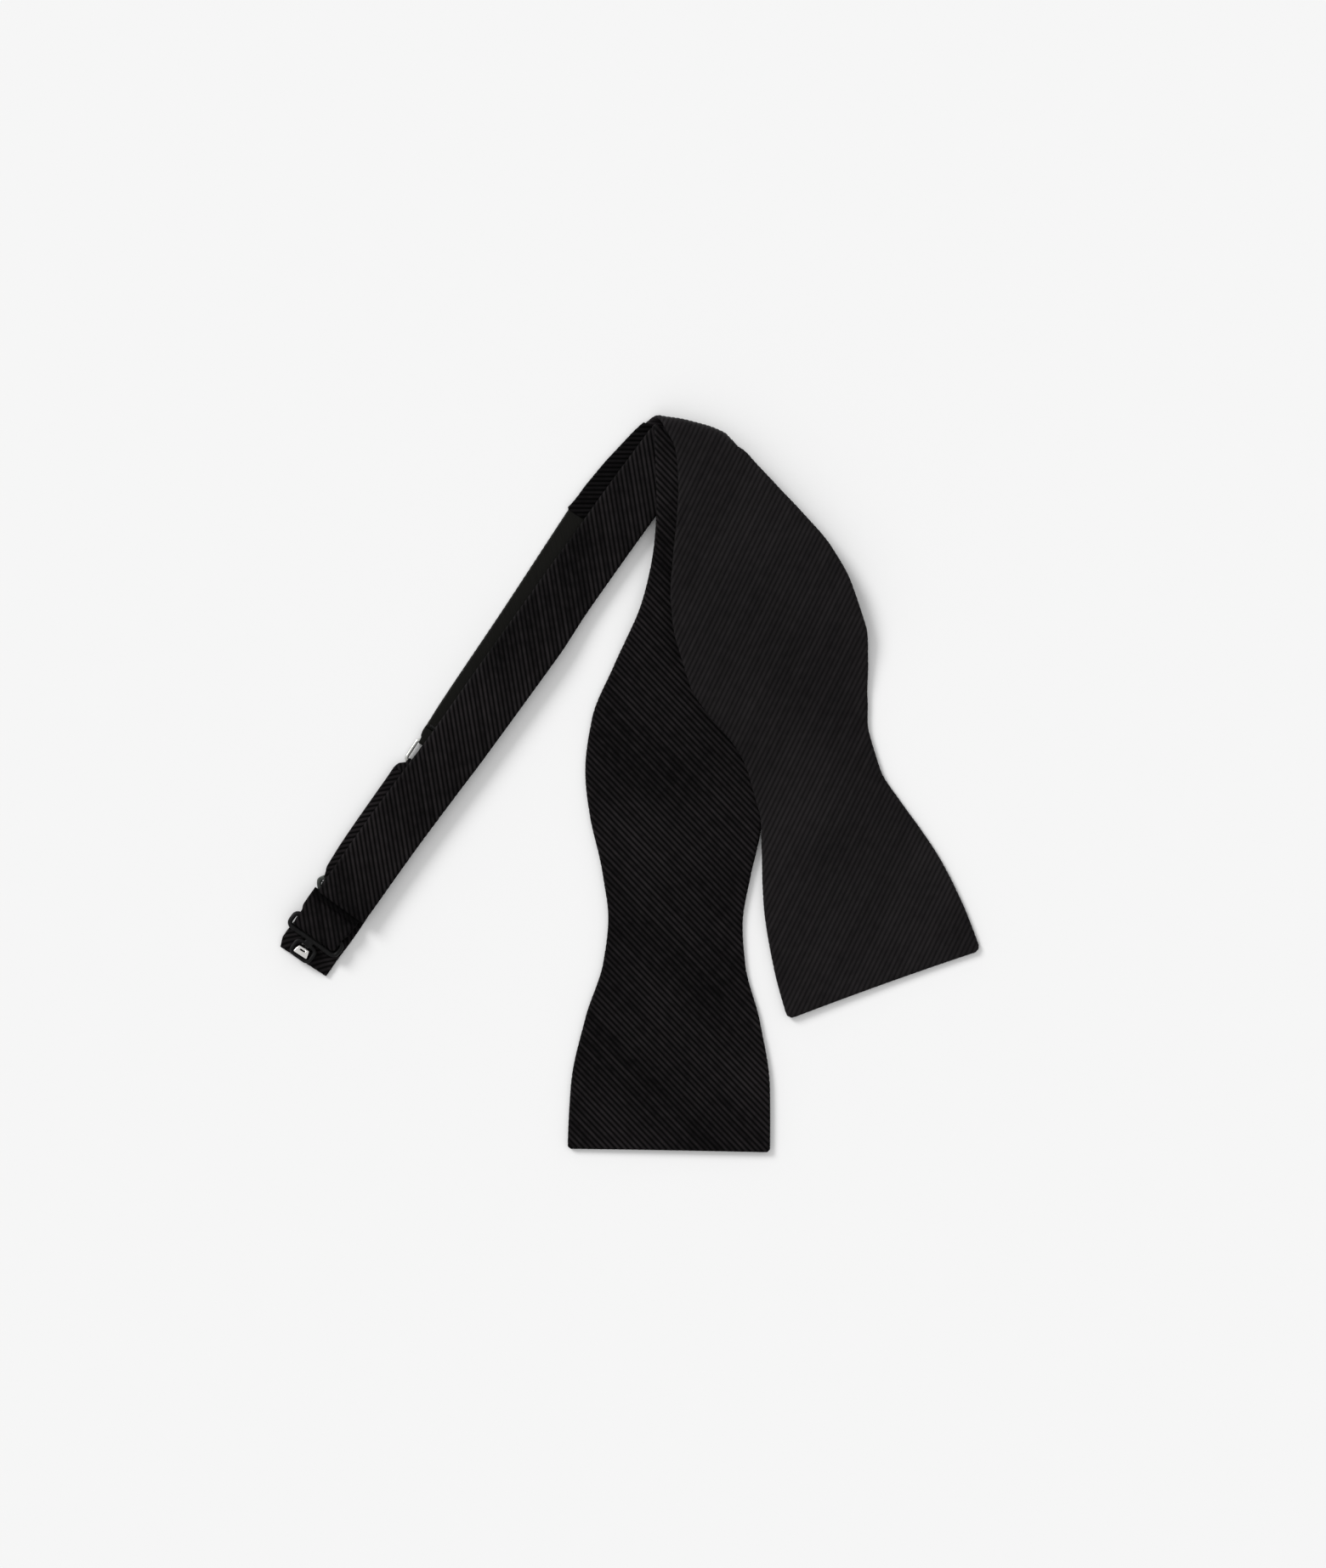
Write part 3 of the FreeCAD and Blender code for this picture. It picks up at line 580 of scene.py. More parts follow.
class Blade:
    """A blade with its roll round the fold, from the band's end to the end edge."""

    SIDE_SLOPE = 0.96
    SWELL_REACH = 11.0

    def __init__(
        self,
        strip,
        fold_angle,
        end,
        radius,
        halves,
        sways,
        middle,
        bow,
        tilt,
        corner,
        swell=((0, 0), (1, 0)),
    ):
        self.strip = strip
        self.bow = bow
        self.swell = curve(swell)
        self.line = heading(fold_angle)
        self.length = math.dist(strip.origin, end)
        self.radius = radius
        self.half = curve(halves)
        self.sway = curve(sways)
        self.middle = middle
        self.tilt = tilt
        self.corner = corner
        normal = heading(fold_angle - 90)
        self.normal = normal if normal @ strip.along > 0 else -normal
        self.slip = PI * radius / (self.normal @ strip.along)

    def beyond_fold(self, s, v):
        """The distance past the fold line, negative on the roll."""
        plan_s, plan_v = self.normal @ self.strip.along, self.normal @ self.strip.left
        return s * plan_s + v * plan_v

    def outline(self, s, v):
        half = self.half(s)
        off = v - self.sway(s)
        side = (half - np.abs(off)) * self.SIDE_SLOPE
        bow = self.bow * (1 - (off / np.maximum(half, 1.0)) ** 2)
        end = self.length + bow + self.tilt * off - s
        edge = rounded_corner(side, end, self.corner)
        roll = self.beyond_fold(s, v) + PI * self.radius
        return np.minimum(edge, roll), edge

    def place(self, s, v, height):
        x, y = self.strip.plan(s, v)
        past = self.beyond_fold(s, v)
        turn = np.clip(-past / self.radius, 0.0, PI)
        rolled = past < 0
        out = -(self.radius + height) * np.sin(turn)
        foot_x, foot_y = x - past * self.normal[0], y - past * self.normal[1]
        x = np.where(rolled, foot_x + out * self.normal[0], x)
        y = np.where(rolled, foot_y + out * self.normal[1], y)
        round_z = FOLD_HEIGHT + (self.radius + height) * np.cos(turn)
        flat_z = self.middle(np.maximum(s, 0.0), v) + height
        x, y = self.swollen(x, y, past)
        return x, y, np.where(rolled, round_z, flat_z)

    def swollen(self, x, y, past):
        """The plan with the fold line bulged outward, which dies away down the blade."""
        gap_x, gap_y = x - self.strip.origin[0], y - self.strip.origin[1]
        along = gap_x * self.line[0] + gap_y * self.line[1]
        fade = np.exp(-((np.maximum(past, 0.0) / self.SWELL_REACH) ** 2))
        push = self.swell(along) * fade
        return x - push * self.normal[0], y - push * self.normal[1]

    def roll_end(self):
        """Where the middle of the strip meets the band, at the far side of the roll."""
        x, y, _ = self.place(np.array([-self.slip]), np.array([0.0]), np.array([0.0]))
        return np.array([x[0], y[0]])


# The middle height of a strip that lies on the table.
RESTING = 0.75

# The left blade clears the front band near the fold, then lies on the table. Each list is
# (distance from the fold, half width) or (distance from the fold, sway to the left).
LEFT_HALVES = [
    (0, 9.1), (19, 9.1), (34, 9.9), (54, 13.4), (74, 20.8), (91, 27.1), (107, 29.0),
    (122, 27.7), (141, 23.7), (155.7, 21.6), (169, 22.8), (187, 28.0), (209, 32.0),
    (229.2, 32.5),
]
LEFT_SWAYS = [
    (-6, 0), (0, 0.4), (34, 1.7), (49, 1.5), (65, 0.5), (88, -0.2), (111, -0.1),
    (136, 0.8), (155, 0.7), (187, 0.3), (229, -0.2),
]


def left_middle(s, v):
    """The blade's middle height: down from the band, then soft waves."""
    lift = 3.6 * (1 - smooth(s, 30, 80))
    wave = 0.22 * smooth(s, 84, 110) * (1 + np.sin(s / 17.0 + v / 24.0))
    return RESTING + lift + wave


LEFT_BLADE = Blade(
    LEFT,
    FRONT_FOLD_ANGLE,
    LEFT_END,
    FRONT_RADIUS,
    LEFT_HALVES,
    LEFT_SWAYS,
    left_middle,
    bow=-0.1,
    tilt=0.0,
    corner=1.3,
)

# The right blade bridges on to the left one, and its outer side comes down beside it.
RIGHT_HALVES = [
    (-9, 9.3), (0, 9.3), (10, 11.6), (23, 16.8), (33.5, 21.6), (48, 27.3), (61, 29.6),
    (74.6, 29.8), (86, 27.0), (97.6, 22.7), (108, 20.5), (120, 20.6), (132, 23.6),
    (143, 27.0), (153, 29.6), (164, 31.4), (175, 32.5), (186.3, 32.9),
]
RIGHT_SWAYS = [
    (-9, 0), (0, 1.0), (10, 1.7), (23, 2.1), (61, 2.0), (86, 1.7), (98, 1.9), (108, 1.1),
    (120, 0.6), (132, 0.4), (160, 0.3), (186, 0),
]


def right_middle(s, v):
    """The blade's middle height: over the left blade, with its outer side down beside it."""
    bridge = 3.5 * (1 - smooth(s, 40, 115)) + 1.9 * (1 - smooth(s, 134, 172))
    droop = smooth(v, -1.0, 24.0) * smooth(s, 62, 104)
    wave = 0.2 * smooth(s, 150, 172) * (1 + np.sin(s / 15.0 - v / 21.0))
    return RESTING + bridge * (1 - 0.93 * droop) + wave


RIGHT_BLADE = Blade(
    RIGHT,
    REAR_FOLD_ANGLE,
    RIGHT_END,
    REAR_RADIUS,
    RIGHT_HALVES,
    RIGHT_SWAYS,
    right_middle,
    bow=-0.4,
    tilt=-0.014,
    corner=2.2,
    swell=[
        (-14, 0.0), (-5, 0.9), (2, 1.0), (8, 0.3), (10.7, -0.85), (13.3, -1.25),
        (15.5, -0.5), (18, 0.0), (40, 0.0),
    ],
)


class Band:
    """A straight strip that ends in a plane at the fold."""

    CORNER = 0.9

    def __init__(self, strip, blade, half, sway, start, bow, middle):
        self.strip = strip
        self.blade = blade
        self.half = half
        self.sway = sway
        self.start = start
        self.bow = bow
        self.middle = middle
        gap = strip.origin - blade.strip.origin
        self.offset = gap @ blade.normal
        self.slopes = strip.along @ blade.normal, strip.left @ blade.normal

    def outline(self, s, v):
        half = self.half(s)
        off = v - self.sway(s)
        side = half - np.abs(off)
        end = s - self.start - self.bow * off
        edge = rounded_corner(side, end, self.CORNER)
        fold = self.offset + s * self.slopes[0] + v * self.slopes[1]
        return np.minimum(edge, fold), edge

    def place(self, s, v, height):
        x, y = self.strip.plan(s, v)
        fold = self.offset + s * self.slopes[0] + v * self.slopes[1]
        x, y = self.blade.swollen(x, y, fold)
        return x, y, self.middle(s, v, height) + height


FRONT_REACH, FRONT_SHIFT = BAND.local(LEFT_BLADE.roll_end())
MOUTH = -86.0
LIP_REACH = 9.0
FRONT_RISE, FRONT_DROP = 2.8, 1.0


def front_middle(s, v, height):
    """The band's middle height: its two cloths gape apart at the mouth."""
    lip = 1 - smooth(s, MOUTH, MOUTH + LIP_REACH)
    gape = np.where(height > 0, 1.2 * lip, -1.05 * lip)
    apart = gape * (1 - (v / 9.6) ** 2).clip(0, 1)
    return RESTING + FRONT_RISE - FRONT_DROP * smooth(s, 14, 44) + apart


FRONT_BAND = Band(
    BAND,
    LEFT_BLADE,
    curve(
        [
            (MOUTH, 9.0), (-60, 9.1), (-30, 9.15), (0, 9.4), (20, 9.5), (35, 9.2),
            (60, 9.05), (FRONT_REACH, 9.1),
        ]
    ),
    curve(
        [
            (MOUTH, -0.1), (-60, 0.1), (-36, -0.25), (-20, -0.55), (20, -0.55), (40, -0.1),
            (75, -0.1), (88, -0.35), (FRONT_REACH - 3, FRONT_SHIFT),
        ]
    ),
    MOUTH,
    0.0,
    front_middle,
)

STUB = toward(SEAM, RIGHT_BLADE.roll_end())
STUB_REACH = math.dist(SEAM, RIGHT_BLADE.roll_end())
SEAM_TURN = math.tan(math.radians(TAPE.angle - STUB.angle))


def rear_middle(s, v, height):
    """The short band under the stack lies flat."""
    return np.full(np.shape(s), RESTING)


REAR_BAND = Band(
    STUB,
    RIGHT_BLADE,
    curve([(0, 7.8), (STUB_REACH * 0.5, 8.5), (STUB_REACH, 9.3)]),
    curve([(0, 0.0), (9, 0.9), (20, 1.35), (30, 1.25), (36, 0.8), (STUB_REACH, 0.0)]),
    0.0,
    -SEAM_TURN,
    rear_middle,
)


def blend_over(obj, body_a, body_b, blade, lean, low, high):
    """Bake a rolled piece's placement into its mesh."""
    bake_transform(obj)


# Heights listed for the outer cloth, the inner cloth and the interlining of each blade.
for pieces, bodies, blade, lean, levels in (
    (
        lined_strip(
            "left_blade",
            ("back_cloth", "front_cloth"),
            LEFT_BLADE.outline,
            (-8, 234, 36),
            34,
            LEFT_BLADE.place,
            1,
            0.3,
            SILK,
        ),
        ("front_band", "left_blade"),
        LEFT_BLADE,
        0.075,
        ((3.2, 3.7), (2.2, 4.5), (2.9, 4.0)),
    ),
    (
        lined_strip(
            "right_blade",
            ("back_cloth", "front_cloth"),
            RIGHT_BLADE.outline,
            (-14, 192, 37),
            40,
            RIGHT_BLADE.place,
            -1,
            0.18,
            # The lighter copy of the silk: painted light on the right blade.
            PAINTED_LIGHT_SILK,
        ),
        ("rear_band", "right_blade"),
        RIGHT_BLADE,
        0.12,
        ((1.6, 5.3), (1.0, 5.9), (1.3, 5.6)),
    ),
):
    for piece, (low, high) in zip(pieces, levels):
        blend_over(piece, *bodies, blade, lean, low, high)

for piece in lined_strip(
    "front_band",
    ("lower_cloth", "upper_cloth"),
    FRONT_BAND.outline,
    (-90, 108, 12),
    22,
    FRONT_BAND.place,
    1,
    0.3,
    SILK,
    MOUTH + LIP_REACH,
):
    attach(piece, "front_band")

# The rear band takes the darker copy of the silk, whose darkness is painted shade.
for piece in lined_strip(
    "rear_band",
    ("lower_cloth", "upper_cloth"),
    REAR_BAND.outline,
    (-6, 50, 12),
    22,
    REAR_BAND.place,
    -1,
    0.3,
    PAINTED_SHADE_SILK,
):
    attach(piece, "rear_band")

# ---- Ribbons: strips that follow a line seen from the side ----


def resample(path, step=1.0, count=None):
    """Even steps along a line of points in a plane, and the distance along it at each."""
    path = np.asarray(path, float)
    lengths = np.concatenate([[0], np.cumsum(np.hypot(*np.diff(path, axis=0).T))])
    count = count or max(int(round(lengths[-1] / step)), 4)
    at = np.linspace(0, lengths[-1], count + 1)
    return np.stack([np.interp(at, lengths, path[:, k]) for k in (0, 1)], 1), at


def half_turn(x, z, radius, side, start, end, count=14):
    """Points on an arc about a bar, from one angle to another, in degrees."""
    turns = np.radians(np.linspace(start, end, count))
    return [(x + side * radius * math.cos(a), z + radius * math.sin(a)) for a in turns]


RIBBON_STEP, RIBBON_COLUMN = 0.24, 0.3
RIBBON_SKIN = 0.04
EDGE_THREAD = 0.1


def ribbon(name, strip, path, half, thickness, slot, hand=1, depth=0.16, aside=0.0):
    """A strip of cloth that follows a side view, ribbed on both faces.

    half is half its width and aside how far it is to the left, each a number or a
    function of the distance along the strip.
    """
    line, at = resample(path, RIBBON_STEP)
    slope = np.gradient(line, axis=0)
    slope /= np.hypot(slope[:, 0], slope[:, 1])[:, None]
    normal = np.stack([-slope[:, 1], slope[:, 0]], 1)
    halves = half(line[:, 0]) if callable(half) else np.full(len(line), float(half))
    shift = aside(line[:, 0])[:, None] if callable(aside) else aside
    columns = int(2 * halves.max() / RIBBON_COLUMN)
    share = np.linspace(-1, 1, columns)
    v = halves[:, None] * share[None, :]
    open_end = np.minimum(at, at[-1] - at)[:, None]
    rise = roundness(np.minimum(halves[:, None] - np.abs(v), open_end), 0.3)
    across = {}
    for face in (1, -1):
        lean = heading(45.0 * hand * face + 90)
        across[face] = at[:, None] * lean[0] + v * lean[1]
    points = []
    for face in (1, -1):
        ribs = rib_height(across[face], depth)
        body = (thickness / 2 - depth - RIBBON_SKIN) * rise
        height = face * (RIBBON_SKIN + body + ribs * rise)
        outermost = np.abs(share) > 0.999
        serrated = v + np.sign(v) * outermost * rib_height(across[face], EDGE_THREAD)
        s = line[:, None, 0] + height * normal[:, None, 0]
        z = line[:, None, 1] + height * normal[:, None, 1]
        x, y = strip.plan(s, serrated + shift)
        points.append(np.stack([x, y, z], -1).reshape(-1, 3))
    uvs = []
    for face in (1, -1):
        lean = heading(45.0 * hand * face)
        along = at[:, None] * lean[0] + v * lean[1]
        uvs.append(np.stack([along, across[face]], -1).reshape(-1, 2))
    faces = closed_grid_faces(len(line), columns)
    obj = make_object(name, np.concatenate(points), faces, slot, np.concatenate(uvs))
    face_outward(obj)
    return obj


BAR_HEIGHT = 1.2
RING_DEPTH, RING_WIRE = 9.0, 1.2
RING_HALF = RING_DEPTH / 2 - RING_WIRE / 2
TAPE_BAR = TAPE.local(RING.plan(RING_HALF, 0))[0]
STRAP_BAR = STRAP.local(RING.plan(-RING_HALF, 0))[0]
TAPE_LENGTH = math.dist(TAPE.origin, SEAM)
TAPE_LOOP = 4.5
STRAP_LOOP = 4.0
HOOK_TURN_HEIGHT, HOOK_TURN = 0.575, 0.3
HOOK_FLAP = 8.0 + HOOK_TURN_HEIGHT
SLIDER_X = SLIDER_PLACE - STRAP_START
RETURN_START = RETURN_PLACE - STRAP_START
STRAP_THICK, STRAP_LOW, STRAP_HIGH = 0.52, 0.29, 2.125
TAPE_RIB = 0.012

tape_start = TAPE_BAR + TAPE_LOOP
strap_ring_x = STRAP_BAR - STRAP_LOOP
tape = ribbon(
    "satin_tape_ribbon",
    TAPE,
    [(tape_start, 0.4), (TAPE_LENGTH + 0.4, 0.4)],
    curve([(tape_start, 7.3), (tape_start + 9, 7.45), (50, 7.15), (TAPE_LENGTH, 7.25)]),
    0.8,
    "satin",
    depth=TAPE_RIB,
)
tape_loop = ribbon(
    "satin_tape_end_loop_ribbon",
    TAPE,
    [(tape_start, 0.3)] + half_turn(TAPE_BAR, BAR_HEIGHT, 0.9, -1, -90, 90) + [(tape_start, 2.1)],
    curve([(TAPE_BAR - 1, 6.2), (TAPE_BAR + 0.7, 6.4), (TAPE_BAR + 1.8, 7.0), (tape_start, 7.3)]),
    0.48,
    "satin",
    depth=TAPE_RIB,
)
run_half = curve(
    [
        (-0.6, 8.7), (3, 9.3), (12, 9.2), (30, 8.9), (strap_ring_x - 4.5, 8.8),
        (strap_ring_x, 8.6),
    ]
)
run_aside = curve([(-0.6, -0.35), (3, 0.1), (14, -0.65), (22, -0.95), (45, 0.6), (68, 0.3)])
return_aside = curve([(RETURN_START, 1.1), (37, 1.2), (47, 1.0), (57, 0.7), (67, 0.4)])
strap_run = ribbon(
    "adjusting_strap_run_silk",
    STRAP,
    [(HOOK_FLAP, STRAP_LOW), (strap_ring_x, STRAP_LOW)],
    run_half,
    STRAP_THICK,
    "ribbed_silk",
    aside=run_aside,
)
strap_return = ribbon(
    "adjusting_strap_return_silk",
    STRAP,
    [(RETURN_START, STRAP_HIGH), (strap_ring_x, STRAP_HIGH)],
    curve([(RETURN_START, 7.6), (RETURN_START + 4, 8.6), (40, 8.7), (strap_ring_x, 8.6)]),
    STRAP_THICK,
    "ribbed_silk",
    hand=-1,
    aside=return_aside,
)
ring_fold = ribbon(
    "adjusting_strap_ring_fold_silk",
    STRAP,
    [(strap_ring_x, 0.3)]
    + half_turn(STRAP_BAR, BAR_HEIGHT, 0.92, 1, -90, 90)
    + [(strap_ring_x, 2.12)],
    curve(
        [
            (strap_ring_x, 8.6), (STRAP_BAR - 2.2, 8.1), (STRAP_BAR - 1.0, 6.8),
            (STRAP_BAR - 0.6, 6.4), (STRAP_BAR + 1, 6.2),
        ]
    ),
    0.5,
    "ribbed_silk",
    aside=0.3,
)
hook_fold = ribbon(
    "adjusting_strap_hook_fold_silk",
    STRAP,
    [(HOOK_FLAP, 0.28)]
    + half_turn(0.0, HOOK_TURN_HEIGHT, HOOK_TURN, -1, -90, 90)
    + [(HOOK_FLAP, 0.88)],
    run_half,
    0.5,
    "ribbed_silk",
    hand=-1,
    aside=run_aside,
)
SEWN_TURN = 0.38
sewn_end = ribbon(
    "adjusting_strap_sewn_end_silk",
    STRAP,
    [(SLIDER_X + 0.95, 1.05)]
    + half_turn(SLIDER_X - 0.45, BAR_HEIGHT, SEWN_TURN, -1, -90, 90, 8)
    + [(SLIDER_X + 0.3, BAR_HEIGHT + SEWN_TURN)]
    + half_turn(SLIDER_X + 0.6, BAR_HEIGHT, SEWN_TURN, 1, 90, -10, 8),
    8.1,
    0.26,
    "ribbed_silk",
    hand=-1,
    depth=0.05,
)
TAB_END, TAB_FOLD = -99.3, 1.5
tab = ribbon(
    "end_tab_silk",
    BAND,
    [
        (MOUTH + 0.5, 2.8), (MOUTH - 1.9, 2.8), (MOUTH - 2.7, 3.3), (MOUTH - 3.4, 3.68),
        (MOUTH - 5.0, 3.8),
    ]
    + half_turn(TAB_END + TAB_FOLD, 2.6, 1.2, -1, 90, -90)
    + [(-92.0, 1.42), (-90.0, 1.8), (-88.2, 2.35), (MOUTH + 0.5, 2.52)],
    curve([(-99.2, 7.8), (-97, 8.05), (-94.3, 8.05), (-92, 8.75), (MOUTH, 8.9)]),
    0.54,
    "ribbed_silk",
    aside=1.3,
)
# The tab takes the silk with painted shade at its start, inside the band's mouth.
tab.data.materials[0] = TAB_SILK_PAINTED_SHADE

for piece, node, body in (
    (tape, "satin_tape", "rear_band"),
    (tape_loop, "satin_tape_end_loop", "rear_band"),
    (ring_fold, "adjusting_strap_ring_fold", "rear_band"),
    (hook_fold, "adjusting_strap_hook_fold", "front_band"),
    (sewn_end, "adjusting_strap_sewn_end", "slider"),
    (tab, "end_tab", "front_band"),
):
    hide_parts(node)
    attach(piece, body)


def strap_point(s):
    """A place under the middle of the strap, in metres."""
    return Vector((*STRAP.plan(s, 0.0), 0.0)) * MM


at_ring = strap_point(strap_ring_x)
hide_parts("adjusting_strap_run")
strap_point(HOOK_FLAP)
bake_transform(strap_run)
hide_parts("adjusting_strap_return")
strap_point(RETURN_START)
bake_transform(strap_return)

# ---- Wire and sheet metal ----


def tube(line, radius, closed=False, sides=14):
    """The points and faces of a round tube along a line of points."""
    line = np.asarray(line, float)
    if closed:
        ahead, behind = np.roll(line, -1, 0), np.roll(line, 1, 0)
    else:
        ahead = np.vstack([line[1:], line[-1:]])
        behind = np.vstack([line[:1], line[:-1]])
    run = ahead - behind
    run /= np.linalg.norm(run, axis=1)[:, None]
    side = np.cross(run, np.tile([0.0, 0.0, 1.0], (len(line), 1)))
    side /= np.maximum(np.linalg.norm(side, axis=1), 1e-9)[:, None]
    over = np.cross(side, run)
    turns = (np.arange(sides) * 2 * PI / sides)[None, :, None]
    ring = np.cos(turns) * side[:, None] + np.sin(turns) * over[:, None]
    points = (line[:, None] + radius * ring).reshape(-1, 3)
    faces = []
    loops = len(line) if closed else len(line) - 1
    for i in range(loops):
        j = (i + 1) % len(line)
        for k in range(sides):
            m = (k + 1) % sides
            faces.append([i * sides + k, i * sides + m, j * sides + m, j * sides + k])
    if not closed:
        faces.append(list(range(sides))[::-1])
        faces.append([(len(line) - 1) * sides + k for k in range(sides)])
    return points, faces


def joined(parts):
    """Several point and face lists as one."""
    points, faces, first = [], [], 0
    for some, shapes in parts:
        points.append(some)
        faces += [[i + first for i in face] for face in shapes]
        first += len(some)
    return np.concatenate(points), faces


CORNERS = ((1, 1), (-1, 1), (-1, -1), (1, -1))


def rounded_loop(half_x, half_y, radius, step=0.35):
    """Points round a rectangle with round corners, centred on the origin."""
    corners = []
    for quarter, (sx, sy) in enumerate(CORNERS):
        for a in np.linspace(0, PI / 2, 9):
            turn = a + quarter * PI / 2
            corners.append(
                (
                    sx * (half_x - radius) + radius * math.cos(turn),
                    sy * (half_y - radius) + radius * math.sin(turn),
                )
            )
    return resample(corners + corners[:1], step)[0][:-1]


def on_strip(strip, local, height):
    """Local (along, left) points lifted to a height, as points of the part."""
    local = np.asarray(local, float)
    x, y = strip.plan(local[:, 0], local[:, 1])
    return np.stack([x, y, np.broadcast_to(height, x.shape)], 1)


VOXEL = 0.14


def weld(obj, passes):
    """One clean skin over overlapping closed shapes."""
    remesh = obj.modifiers.new("remesh", "REMESH")
    remesh.mode = "VOXEL"
    remesh.voxel_size = VOXEL * MM
    relax = obj.modifiers.new("relax", "SMOOTH")
    relax.iterations = passes
    relax.factor = 0.5
    evaluated = obj.evaluated_get(bpy.context.evaluated_depsgraph_get())
    made = bpy.data.meshes.new_from_object(evaluated)
    obj.modifiers.clear()
    obj.data = made
    made.polygons.foreach_set("use_smooth", np.ones(len(made.polygons), bool))
    return obj


# The eye: a wire frame, a flattened stem that flares out of it and a small loop.
EYE_TOP, EYE_LOW, EYE_HIGH = -95.4, -100.2, 2.6
EYE_LEFT, LOOP_LEFT = 1.3, 1.5
LOOP_TOP, LOOP_LOW = EYE_LOW - 1.9, -106.9
EYE_WIDTH, EYE_WIRE = 20.0, 0.8
LOOP_WIDTH, LOOP_WIRE = 8.4, 0.65
STEM_HALF, STEM_WIRE, STEM_FLARE = 0.8, 0.62, 0.75
frame_line = rounded_loop((EYE_TOP - EYE_LOW) / 2, EYE_WIDTH / 2 - EYE_WIRE, 1.6)
frame_line = frame_line + [(EYE_TOP + EYE_LOW) / 2, EYE_LEFT]
loop_line = rounded_loop((LOOP_TOP - LOOP_LOW) / 2, (LOOP_WIDTH - 2 * LOOP_WIRE) / 2, 1.5)
loop_line = loop_line + [(LOOP_TOP + LOOP_LOW) / 2, LOOP_LEFT]
down = np.linspace(0, 1, 9)
flare = 1 + STEM_FLARE * (2 * down - 1) ** 2
stems = []
for off in np.linspace(-STEM_HALF, STEM_HALF, 5):
    local = np.stack([EYE_LOW - down * (EYE_LOW - LOOP_TOP), LOOP_LEFT + off * flare], 1)
    stems.append(tube(on_strip(BAND, local, EYE_HIGH), STEM_WIRE))
eye_points, eye_faces = joined(
    [
        tube(on_strip(BAND, frame_line, EYE_HIGH), EYE_WIRE, True),
        tube(on_strip(BAND, loop_line, EYE_HIGH), LOOP_WIRE, True),
        *stems,
    ]
)
eye = weld(make_object("eye_wire", eye_points, eye_faces, "black_enamel"), 6)
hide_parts("eye")
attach(eye, "eye")

# The hook: a tongue of bright sheet with a small slot, bent up out of its base.
HOOK_LEFT = 1.5
HOOK_THICK = 0.38
ROOT_HALF, TIP_HALF = 1.1, 2.5
SLOT_ROOT, SLOT_TIP = 1.9, 1.4
LEVELS = 9
side_line, side_at = resample(
    [
        (5.85, 1.38), (4.1, 1.38), (3.85, 1.46), (3.72, 1.7), (3.62, 2.3), (3.5, 2.9),
        (3.25, 3.22), (2.8, 3.36), (0.98, 3.62),
    ],
    0.05,
)
bend = np.gradient(side_line, axis=0)
bend /= np.hypot(bend[:, 0], bend[:, 1])[:, None]


def ring_of(corners, radius, count=72):
    """A closed outline with round corners, in even steps."""
    corners = np.asarray(corners, float)
    out = []
    for k in range(len(corners)):
        before, here, after = corners[k - 1], corners[k], corners[(k + 1) % len(corners)]
        a = here + (before - here) / np.linalg.norm(before - here) * radius
        b = here + (after - here) / np.linalg.norm(after - here) * radius
        for t in np.linspace(0, 1, 7):
            out.append((1 - t) ** 2 * a + 2 * t * (1 - t) * here + t * t * b)
    return resample(out + out[:1], count=count)[0][:-1]


reach = float(side_at[-1])
outer_ring = ring_of(
    [(0, -ROOT_HALF), (reach, -TIP_HALF), (reach, TIP_HALF), (0, ROOT_HALF)], 0.3
)
slot_ring = ring_of(
    [
        (reach - SLOT_ROOT, -0.85),
        (reach - SLOT_TIP, -1.05),
        (reach - SLOT_TIP, 1.05),
        (reach - SLOT_ROOT, 0.85),
    ],
    0.14,
)
hook_points, hook_faces = [], []
count = len(outer_ring)
for face in (1, -1):
    for level in range(LEVELS):
        share = level / (LEVELS - 1)
        flat_ring = slot_ring + (outer_ring - slot_ring) * share
        pinch = 1 - 0.45 * (abs(2 * share - 1) > 0.999)
        at = np.clip(flat_ring[:, 0], 0, reach)
        base = [np.interp(at, side_at, side_line[:, k]) for k in (0, 1)]
        run = [np.interp(at, side_at, bend[:, k]) for k in (0, 1)]
        lift = face * HOOK_THICK / 2 * pinch
        s = base[0] + lift * run[1]
        z = base[1] - lift * run[0]
        x, y = STRAP.plan(s, flat_ring[:, 1] + HOOK_LEFT)
        hook_points.append(np.stack([x, y, z], 1))
for face in (0, 1):
    for level in range(LEVELS - 1):
        for k in range(count):
            a = (face * LEVELS + level) * count + k
            b = (face * LEVELS + level) * count + (k + 1) % count
            quad = [a, b, b + count, a + count]
            hook_faces.append(quad if face else quad[::-1])
for level in (0, LEVELS - 1):
    for k in range(count):
        a = level * count + k
        b = level * count + (k + 1) % count
        quad = [a, b, b + LEVELS * count, a + LEVELS * count]
        hook_faces.append(quad if level == 0 else quad[::-1])
hook = make_object("hook_tongue", np.concatenate(hook_points), hook_faces, "nickel")
face_outward(hook)
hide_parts("hook")
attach(hook, "front_band")

# The slider: a flat lens-shaped frame with rounded edges and a middle bar.
SLIDER_LENGTH, SLIDER_WIDTH, SLIDER_POINT = 11.5, 20.4, 1.45
FRAME_WIRE, BAR_WIRE, BAR_HALF = 0.45, 0.24, 9.3
turns = np.linspace(0, 2 * PI, 121)[:-1]
lens_along = np.sign(np.cos(turns)) * np.abs(np.cos(turns)) ** (2 / SLIDER_POINT)
parts = []
for inward in (FRAME_WIRE, 0.75, 1.05):
    along = (SLIDER_LENGTH / 2 - inward) * lens_along
    across = (SLIDER_WIDTH / 2 - inward) * np.sin(turns)
    lens = np.stack([along + SLIDER_X, across], 1)
    lens = resample(np.vstack([lens, lens[:1]]), 0.35)[0][:-1]
    parts.append(tube(on_strip(STRAP, lens, BAR_HEIGHT), FRAME_WIRE, True))
bar_line = [(SLIDER_X, v) for v in np.linspace(-BAR_HALF, BAR_HALF, 40)]
parts.append(tube(on_strip(STRAP, bar_line, BAR_HEIGHT), BAR_WIRE))
slider_points, slider_faces = joined(parts)
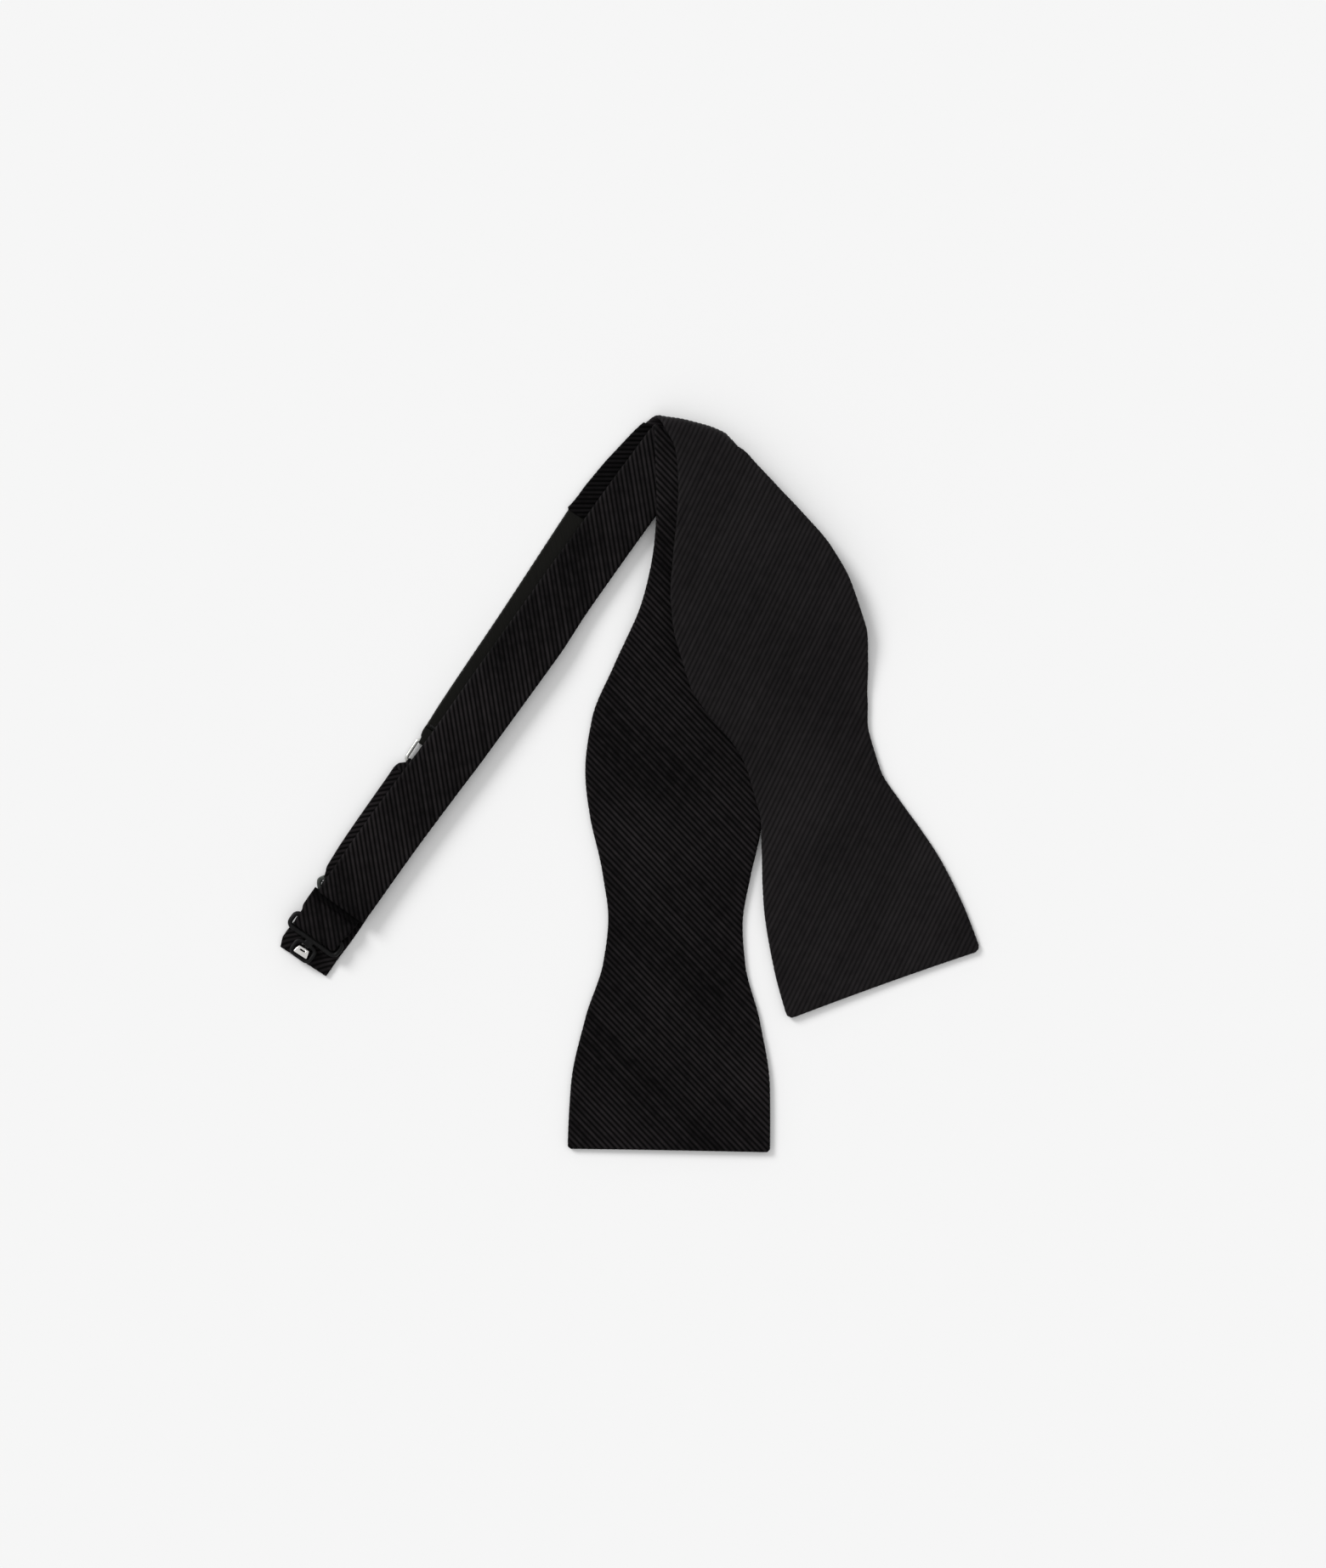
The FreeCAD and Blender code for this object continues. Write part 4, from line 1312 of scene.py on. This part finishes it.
slider = weld(make_object("slider_frame", slider_points, slider_faces, "dark_metal"), 4)
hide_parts("slider")
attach(slider, "slider")

# The ring's CAD shape is right, so it keeps it and takes a finer finish.
ring = frame["nodes"]["ring"]
ring.data.materials.clear()
ring.data.materials.append(MATERIALS["pale_metal"])
ring.data.polygons.foreach_set("use_smooth", np.ones(len(ring.data.polygons), bool))


STITCH_PITCH, STITCH_LENGTH, STITCH_THREAD = 0.3, 1.0, 0.1


def stitches(name, node, strip, x, low, width, left, body):
    """A bar of satin stitch: one thread that crosses to and fro."""
    count = int(width / STITCH_PITCH)
    local, heights = [], []
    for k in range(count):
        v = left - width / 2 + (k + 0.5) * width / count
        for t in np.linspace(0, 1, 7)[:-1]:
            swing = t if k % 2 == 0 else 1 - t
            local.append(
                (x + STITCH_THREAD + STITCH_LENGTH * swing, v + (t - 0.5) * width / count)
            )
            heights.append(low + 0.09 + 0.13 * math.sin(PI * t))
    points = on_strip(strip, local, np.array(heights))
    obj = make_object(name, *tube(points, STITCH_THREAD, sides=8), "thread")
    face_outward(obj)
    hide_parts(node)
    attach(obj, body)


stitches(
    "tape_bar_tack_thread", "tape_bar_tack", TAPE, tape_start + 0.6, 0.8, 12.5, 0.0, "rear_band"
)
stitches(
    "hook_bar_tack_thread", "hook_bar_tack", STRAP, 7.0, 1.12, 9.0, HOOK_LEFT, "front_band"
)

# ---- Floor and light ----

floor_shader = Shader("floor", Roughness=0.9)
floor_shader.surface.inputs["Specular IOR Level"].default_value = 0.0
grain = floor_shader.noise(floor_shader.place(), 60.0)
floor_shader.link(
    floor_shader.ramp(grain, [(0.0, (0.798, 0.798, 0.798)), (1.0, (0.802, 0.802, 0.802))]),
    floor_shader.surface.inputs["Base Color"],
)
FLOOR_HALF, FLOOR_LEVEL = 6.0, -0.00012
floor_mesh = bpy.data.meshes.new("floor")
floor_mesh.from_pydata(
    [(sx * FLOOR_HALF, sy * FLOOR_HALF, FLOOR_LEVEL) for sx, sy in CORNERS], [], [[0, 1, 2, 3]]
)
floor_mesh.materials.append(floor_shader.material)
floor = bpy.data.objects.new("floor", floor_mesh)
bpy.context.scene.collection.objects.link(floor)

AMBIENT = 0.77
world = bpy.data.worlds.new("studio")
bpy.context.scene.world = world
world.use_nodes = True
surround = world.node_tree.nodes["Background"].inputs
surround["Color"].default_value = (1, 1, 1, 1)
surround["Strength"].default_value = AMBIENT

KEY_ELEVATION, KEY_AZIMUTH = math.radians(30.0), math.radians(135.0)
KEY_STRENGTH, KEY_SPREAD = 2.4, math.radians(22)
key_data = bpy.data.lights.new("key", "SUN")
key_data.energy = KEY_STRENGTH
key_data.angle = KEY_SPREAD
key = bpy.data.objects.new("key", key_data)
bpy.context.scene.collection.objects.link(key)
flat = math.cos(KEY_ELEVATION)
from_key = Vector(
    (flat * math.cos(KEY_AZIMUTH), flat * math.sin(KEY_AZIMUTH), math.sin(KEY_ELEVATION))
)
key.rotation_mode = "QUATERNION"
key.rotation_quaternion = from_key.to_track_quat("Z", "Y")
